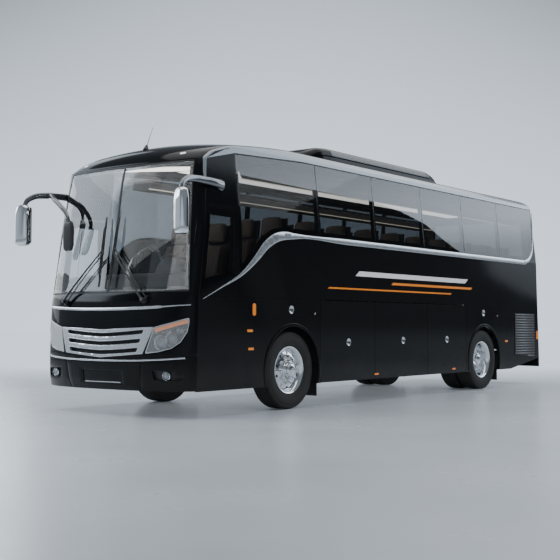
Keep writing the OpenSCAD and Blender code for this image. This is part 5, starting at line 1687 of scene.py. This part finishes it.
for cx in (-1.15, -0.45, 0.25, 0.95):
    for cy in (-0.36, 0.36):
        at = (cx, cy, 3.636)
        g.revolve([(0.225, -0.004), (0.225, 0.003), (0.218, 0.008), (0.205, 0.006), (0.200, -0.004)], at, (0, 0, 1),
                  0, 48)
        for r_ in (0.05, 0.09, 0.13, 0.17):
            g.revolve([(r_ - 0.003, 0.001), (r_, 0.004), (r_ + 0.003, 0.001), (r_, -0.001), (r_ - 0.003, 0.001)], at,
                      (0, 0, 1), 0, 40)
        for k in range(6):
            a = math.pi * k / 3
            g.tube([(cx + 0.03 * math.cos(a), cy + 0.03 * math.sin(a), 3.638),
                    (cx + 0.2 * math.cos(a), cy + 0.2 * math.sin(a), 3.638)], 0.003, 0, 6)
        g.revolve([(0, 0.008), (0.03, 0.007), (0.038, 0.0), (0, -0.002)], at, (0, 0, 1), 0, 24)
g.made("roof_unit_fans", "plastic", smooth=40, slot="unit_housing")
g = Geo()
g.revolve([(0, 0.060), (0.012, 0.058), (0.020, 0.040), (0.034, 0.010), (0.040, -0.012), (0, -0.012)],
          (4.135, 0, float(nose_pt(0, s_of_z(3.29)).z) + 0.008), (-0.25, 0, 1), 0, 24)
g.tube([(4.125, 0, 3.33), (4.068, 0, 3.47), (4.013, 0, 3.600)], [0.0055, 0.004, 0.0022], 1, 10)
g.made("roof_aerial", "plastic", mats=["plastic", "steel"], smooth=40)

# ---------------------------------------------------------------- cab and seats
TILT = Matrix.Translation((4.19, 0.65, 1.80)) @ Matrix.Rotation(math.radians(-30), 4, "Y")
g = Geo()
ringp = [TILT @ Vector((0.225 * math.cos(a), 0.225 * math.sin(a), 0)) for a in np.linspace(0, 2 * math.pi, 73)[:-1]]
g.tube(ringp, [0.0165 + 0.0012 * math.cos(j * 12 * 2 * math.pi / 72) for j in range(72)], 0, 14, closed=True)
for a in (30, 150, 270):
    c, sn = math.cos(math.radians(a)), math.sin(math.radians(a))
    pts = [TILT @ Vector((r_ * c, r_ * sn, z)) for r_, z in ((0.04, -0.045), (0.11, -0.035), (0.17, -0.018),
                                                             (0.22, -0.003))]
    V, F = flat_tube(spline([tuple(q) for q in pts], 4), lerp_list([0.012, 0.01, 0.008, 0.007], 13),
                     lerp_list([0.030, 0.024, 0.018, 0.014], 13), up=TILT.to_3x3() @ Vector((0, 0, 1)), n=14)
    g.add(V, F, 1)
ax_ = TILT.to_3x3() @ Vector((0, 0, 1))
o_ = TILT @ Vector((0, 0, 0))
g.revolve([(0, -0.012), (0.03, -0.013), (0.052, -0.022), (0.060, -0.04), (0.056, -0.06), (0.03, -0.07),
           (0.021, -0.25), (0, -0.25)],
          o_, ax_, 1, 36)
g.made("steering_rim", "plastic", mats=["plastic", "dash"], body="steering_wheel", smooth=42, rep=("steering_wheel",),
       slot="dash_plastic")
g = Geo()
o = rounded([(-0.19, 0), (0.19, 0), (0.17, 0.14), (0.10, 0.19), (-0.10, 0.19), (-0.17, 0.14)], 0.03, 4)
B_ = Matrix.Translation((4.352, 0.65, 1.672)) @ Matrix.Rotation(math.radians(-18), 4, "Y")
P = [B_ @ Vector((0.0, y, z)) for y, z in o]
Q = [B_ @ Vector((0.10, y * 0.9, z * 0.9)) for y, z in o]
m = len(P)
g.add(P + Q, [tuple(range(m)), tuple(range(2 * m - 1, m - 1, -1))] + [(a, (a + 1) % m, m + (a + 1) % m,
                                                                       m + a) for a in range(m)], 0)
for y in (-0.09, 0.0, 0.09):
    c = B_ @ Vector((-0.001, y, 0.09))
    g.revolve([(0.042, 0), (0.042, 0.008), (0.037, 0.011), (0.034, 0.004), (0, 0.003)], c,
              B_.to_3x3() @ Vector((-1, 0, 0)), 1, 28)
g.made("instrument_pod", "dash", mats=["dash", "satin"], smooth=35, bevel=0.003)
# padded top of the dashboard
V2, T = fill(rounded([(4.285, -0.97), (4.565, -0.97), (4.648, -0.60), (4.688, -0.20), (4.688, 0.20), (4.648, 0.60),
                      (4.568, 0.96), (4.50, 1.09), (4.27, 1.09), (4.27, 0.25), (4.345, 0.12), (4.32, -0.1)], 0.05),
                      [], 0.05)
oo = resample(rounded([(4.285, -0.97), (4.565, -0.97), (4.648, -0.60), (4.688, -0.20), (4.688, 0.20), (4.648, 0.60),
                       (4.568, 0.96), (4.50, 1.09), (4.27, 1.09), (4.27, 0.25), (4.345, 0.12), (4.32, -0.1)], 0.05),
                       0.03)
ed = edge_dist(V2, oo)
P = [Vector((x, y, 1.662 + 0.045 * (1 - math.exp(-float(e) / 0.06)))) for (x, y), e in zip(V2, ed)]
vs, fs, _ = thick(P, [Vector((0, 0, 1))] * len(P), [tuple(t) for t in T.tolist()], 0.03)
piece("dash_top", vs, fs, "dash", smooth=50)


def cushion(w, d, h, crown, cap, bolster=0.0, pull=0.010):
    """Closed pad on a grid: width along y, depth along x, height up, with soft corners."""
    nx, ny, nz = 18, 20, 5
    bm = bmesh.new()
    grid = {}

    def at(i, j, k):
        key = (i, j, k)
        if key not in grid:
            x, y, z = i / nx * 2 - 1, j / ny * 2 - 1, k / nz * 2 - 1
            e = lambda v, a, b: v * math.sqrt(max(0.0, 1 - 0.10 * a * a - 0.10 * b * b))
            X, Y, Z = e(x, y, z), e(y, x, z), z * math.sqrt(max(0.0, 1 - 0.30 * x * x - 0.30 * y * y))
            px, py, pz = X * d / 2, Y * w / 2, (Z + 1) / 2 * h
            side = max(abs(x), abs(y))
            if side > 0.99:
                px *= 1 - pull * (1 - z * z) * 2
                py *= 1 - pull * (1 - z * z) * 2
            if z > 0:
                pz += crown * (1 - x * x) * (1 - y * y) * z
                pz += bolster * z * math.exp(-((abs(y) - 0.82) / 0.16)**2) * (1 - 0.4 * x * x)
            grid[key] = bm.verts.new((px, py, pz))
        return grid[key]
    for i in range(nx):
        for j in range(ny):
            bm.faces.new((at(i, j, 0), at(i, j + 1, 0), at(i + 1, j + 1, 0), at(i + 1, j, 0)))
            bm.faces.new((at(i, j, nz), at(i + 1, j, nz), at(i + 1, j + 1, nz), at(i, j + 1, nz)))
    for k in range(nz):
        for i in range(nx):
            bm.faces.new((at(i, 0, k), at(i + 1, 0, k), at(i + 1, 0, k + 1), at(i, 0, k + 1)))
            bm.faces.new((at(i, ny, k), at(i, ny, k + 1), at(i + 1, ny, k + 1), at(i + 1, ny, k)))
        for j in range(ny):
            bm.faces.new((at(0, j, k), at(0, j, k + 1), at(0, j + 1, k + 1), at(0, j + 1, k)))
            bm.faces.new((at(nx, j, k), at(nx, j + 1, k), at(nx, j + 1, k + 1), at(nx, j, k + 1)))
    bmesh.ops.recalc_face_normals(bm, faces=bm.faces)
    me = bpy.data.meshes.new("pad_shape")
    bm.to_mesh(me)
    bm.free()
    inflate(me, cap)
    return me


def inflate(me, cap):
    """Swell a closed mesh as a cloth skin under pressure, with no point moving further than cap."""
    o = bpy.data.objects.new("pad_cloth", me.copy())
    scene.collection.objects.link(o)
    md = o.modifiers.new("cloth", "CLOTH")
    c = md.settings
    c.quality, c.mass, c.use_pressure, c.uniform_pressure_force = 6, 0.3, True, 4.0
    c.tension_stiffness = c.compression_stiffness = 15
    c.effector_weights.gravity = 0
    md.point_cache.frame_start, md.point_cache.frame_end = 1, 20
    rest = [v.co.copy() for v in me.vertices]
    for f in range(1, 21):
        scene.frame_set(f)
    ev = o.evaluated_get(bpy.context.evaluated_depsgraph_get())
    got = [v.co.copy() for v in ev.data.vertices]
    for v, a, b in zip(me.vertices, rest, got):
        dlt = b - a
        if dlt.length > cap:
            dlt *= cap / dlt.length
        v.co = a + dlt
    old = o.data
    bpy.data.objects.remove(o)
    bpy.data.meshes.remove(old)
    scene.frame_set(1)


def sew(me, w, d, pleats, inner=0.62):
    """Sunk seams beside the bolsters and sewn channels across the middle, on the top side."""
    bm = bmesh.new()
    bm.from_mesh(me)
    bmesh.ops.subdivide_edges(bm, edges=[e for e in bm.edges if all(v.normal.z > 0.5 for v in e.verts)], cuts=1,
                              use_grid_fill=True)
    bm.normal_update()
    for v in bm.verts:
        if v.normal.z < 0.3:
            continue
        x, y = v.co.x / (d / 2), v.co.y / (w / 2)
        drop = 0.007 * math.exp(-((abs(y) - inner) / 0.045)**2)
        if abs(y) < inner:
            drop += 0.0045 * max(0.0, math.cos(math.pi * pleats * (x + 1) / 2))**8
        v.co -= v.normal * drop
    bm.to_mesh(me)
    bm.free()
    me.polygons.foreach_set("use_smooth", [True] * len(me.polygons))
    return me


pad_base = sew(cushion(0.435, 0.42, 0.125, 0.016, 0.014, 0.022), 0.435, 0.42, 7)
pad_back = sew(cushion(0.430, 0.53, 0.085, 0.014, 0.014, 0.030), 0.430, 0.53, 9, 0.60)
pad_head = sew(cushion(0.300, 0.25, 0.080, 0.022, 0.012, 0.0), 0.300, 0.25, 1, 0.86)


def pad(name, me, mtx, key, rep=()):
    m_ = me.copy()
    m_.name = name
    m_.transform(mtx)
    m_.materials.clear()
    m_.materials.append(M[key])
    o = bpy.data.objects.new(name, m_)
    scene.collection.objects.link(o)
    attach(o, "body")
    if rep:
        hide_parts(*rep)
    return o


def frame_xz(x0, z0, x1, z1, y):
    """Matrix whose local x runs from the first point to the second, local z towards the front."""
    u = Vector((x1 - x0, 0, z1 - z0)).normalized()
    n_ = Vector((u.z, 0, -u.x))
    v = n_.cross(u)
    R = Matrix((u, v, n_)).transposed().to_4x4()
    return Matrix.Translation(((x0 + x1) / 2, y, (z0 + z1) / 2)) @ R


hard = Geo()
seats = []
for i in range(10):
    for s in (1, -1):
        x = 3.280 - 0.735 * i - (0.26 if s < 0 else 0)
        for q, y in enumerate((0.478, 0.937)):
            seats.append((f"{'l' if s > 0 else 'r'}{i + 1}{'ab'[q]}", x, s * y, 1.3003, 0.46, 1.22, s, q))
seats.append(("driver", 4.080, 0.68, 1.0003, 0.62, 1.39, 1, 0))
first = True
for nm, x, y, z, base, h, s, q in seats:
    zb = z + base - 0.46
    pad(f"seat_pad_{nm}", pad_base, Matrix.Translation((x - 0.145, y, zb + 0.325)) @ Matrix.Rotation(math.radians(-4),
                                                                                                     4, "Y"),
        "leather", ("seat_bases",) if first else ())
    top = z + h
    pad(f"seat_back_{nm}", pad_back, frame_xz(x - 0.425, zb + 0.40, x - 0.520, zb + 0.93, y), "leather",
        ("seat_backs",) if first else ())
    pad(f"headrest_{nm}", pad_head, frame_xz(x - 0.535, top - 0.285, x - 0.565, top - 0.035, y), "leather2")
    first = False
    # shell, pan, armrest
    for (pts, w_) in (([(-0.432, 0.33), (-0.412, 0.30), (-0.465, 0.60), (-0.545, 1.0), (-0.575, 1.17),
                        (-0.602, 1.165), (-0.585, 1.0),
                        (-0.512, 0.60), (-0.462, 0.33)], 0.205),
                        ([(-0.36, 0.30), (0.05, 0.33), (0.055, 0.30), (-0.02, 0.27), (-0.35, 0.25)], 0.20)):
        P = [Vector((x + a, y - w_, zb + b)) for a, b in pts] + [Vector((x + a, y + w_, zb + b)) for a, b in pts]
        m = len(pts)
        hard.add(P, [tuple(range(m)), tuple(range(2 * m - 1, m - 1, -1))]
                 + [(a, m + a, m + (a + 1) % m, (a + 1) % m) for a in range(m)], 0)
    if q == 0 or nm == "driver":
        ya = y - s * 0.228
        V, F = flat_tube(spline([(x - 0.44, ya, zb + 0.62), (x - 0.30, ya, zb + 0.625), (x - 0.10, ya, zb + 0.615),
                                 (x - 0.04, ya, zb + 0.60)], 4),
                         lerp_list([0.020, 0.024, 0.024, 0.014], 13), lerp_list([0.022, 0.026, 0.026, 0.018], 13), n=12)
        hard.add(V, F, 1)
        for dx in (-0.05, -0.30):
            hard.tube([(x + dx, y + s * 0.23 if nm != "driver" else y, z),
                       (x + dx, y + s * 0.23 if nm != "driver" else y, zb + 0.27)], 0.03, 2, 12)
hard.made("seat_frames", "plastic", mats=["plastic", "leather", "steel"], smooth=35, slot="dash_plastic")

# racks' edge rails with lit ceiling strips below them, and hand rails
for s, tag in ((1, "left"), (-1, "right")):
    g = Geo()
    g.tube([(-4.60, s * 0.792, 3.055), (3.25, s * 0.792, 3.055)], 0.016, 0, 12)
    g.tube([(-4.60, s * 0.826, 2.957), (3.25, s * 0.826, 2.957)], 0.007, 1, 8)
    g.made(f"{tag}_rack_rail", "satin", mats=["satin", "glow"], smooth=40, slot="bright_trim")
g = Geo()
g.tube(spline([(4.10, -0.40, 1.62), (3.95, -0.40, 1.95), (3.55, -0.38, 2.1), (3.46, -0.36, 1.9), (3.46, -0.36, 1.02)],
              6), 0.016, 0, 12)
g.tube(spline([(4.42, -0.99, 1.45), (4.36, -1.00, 1.9), (4.31, -1.0, 2.3)], 6), 0.014, 0, 12)
g.made("cab_hand_rails", "satin", smooth=40)
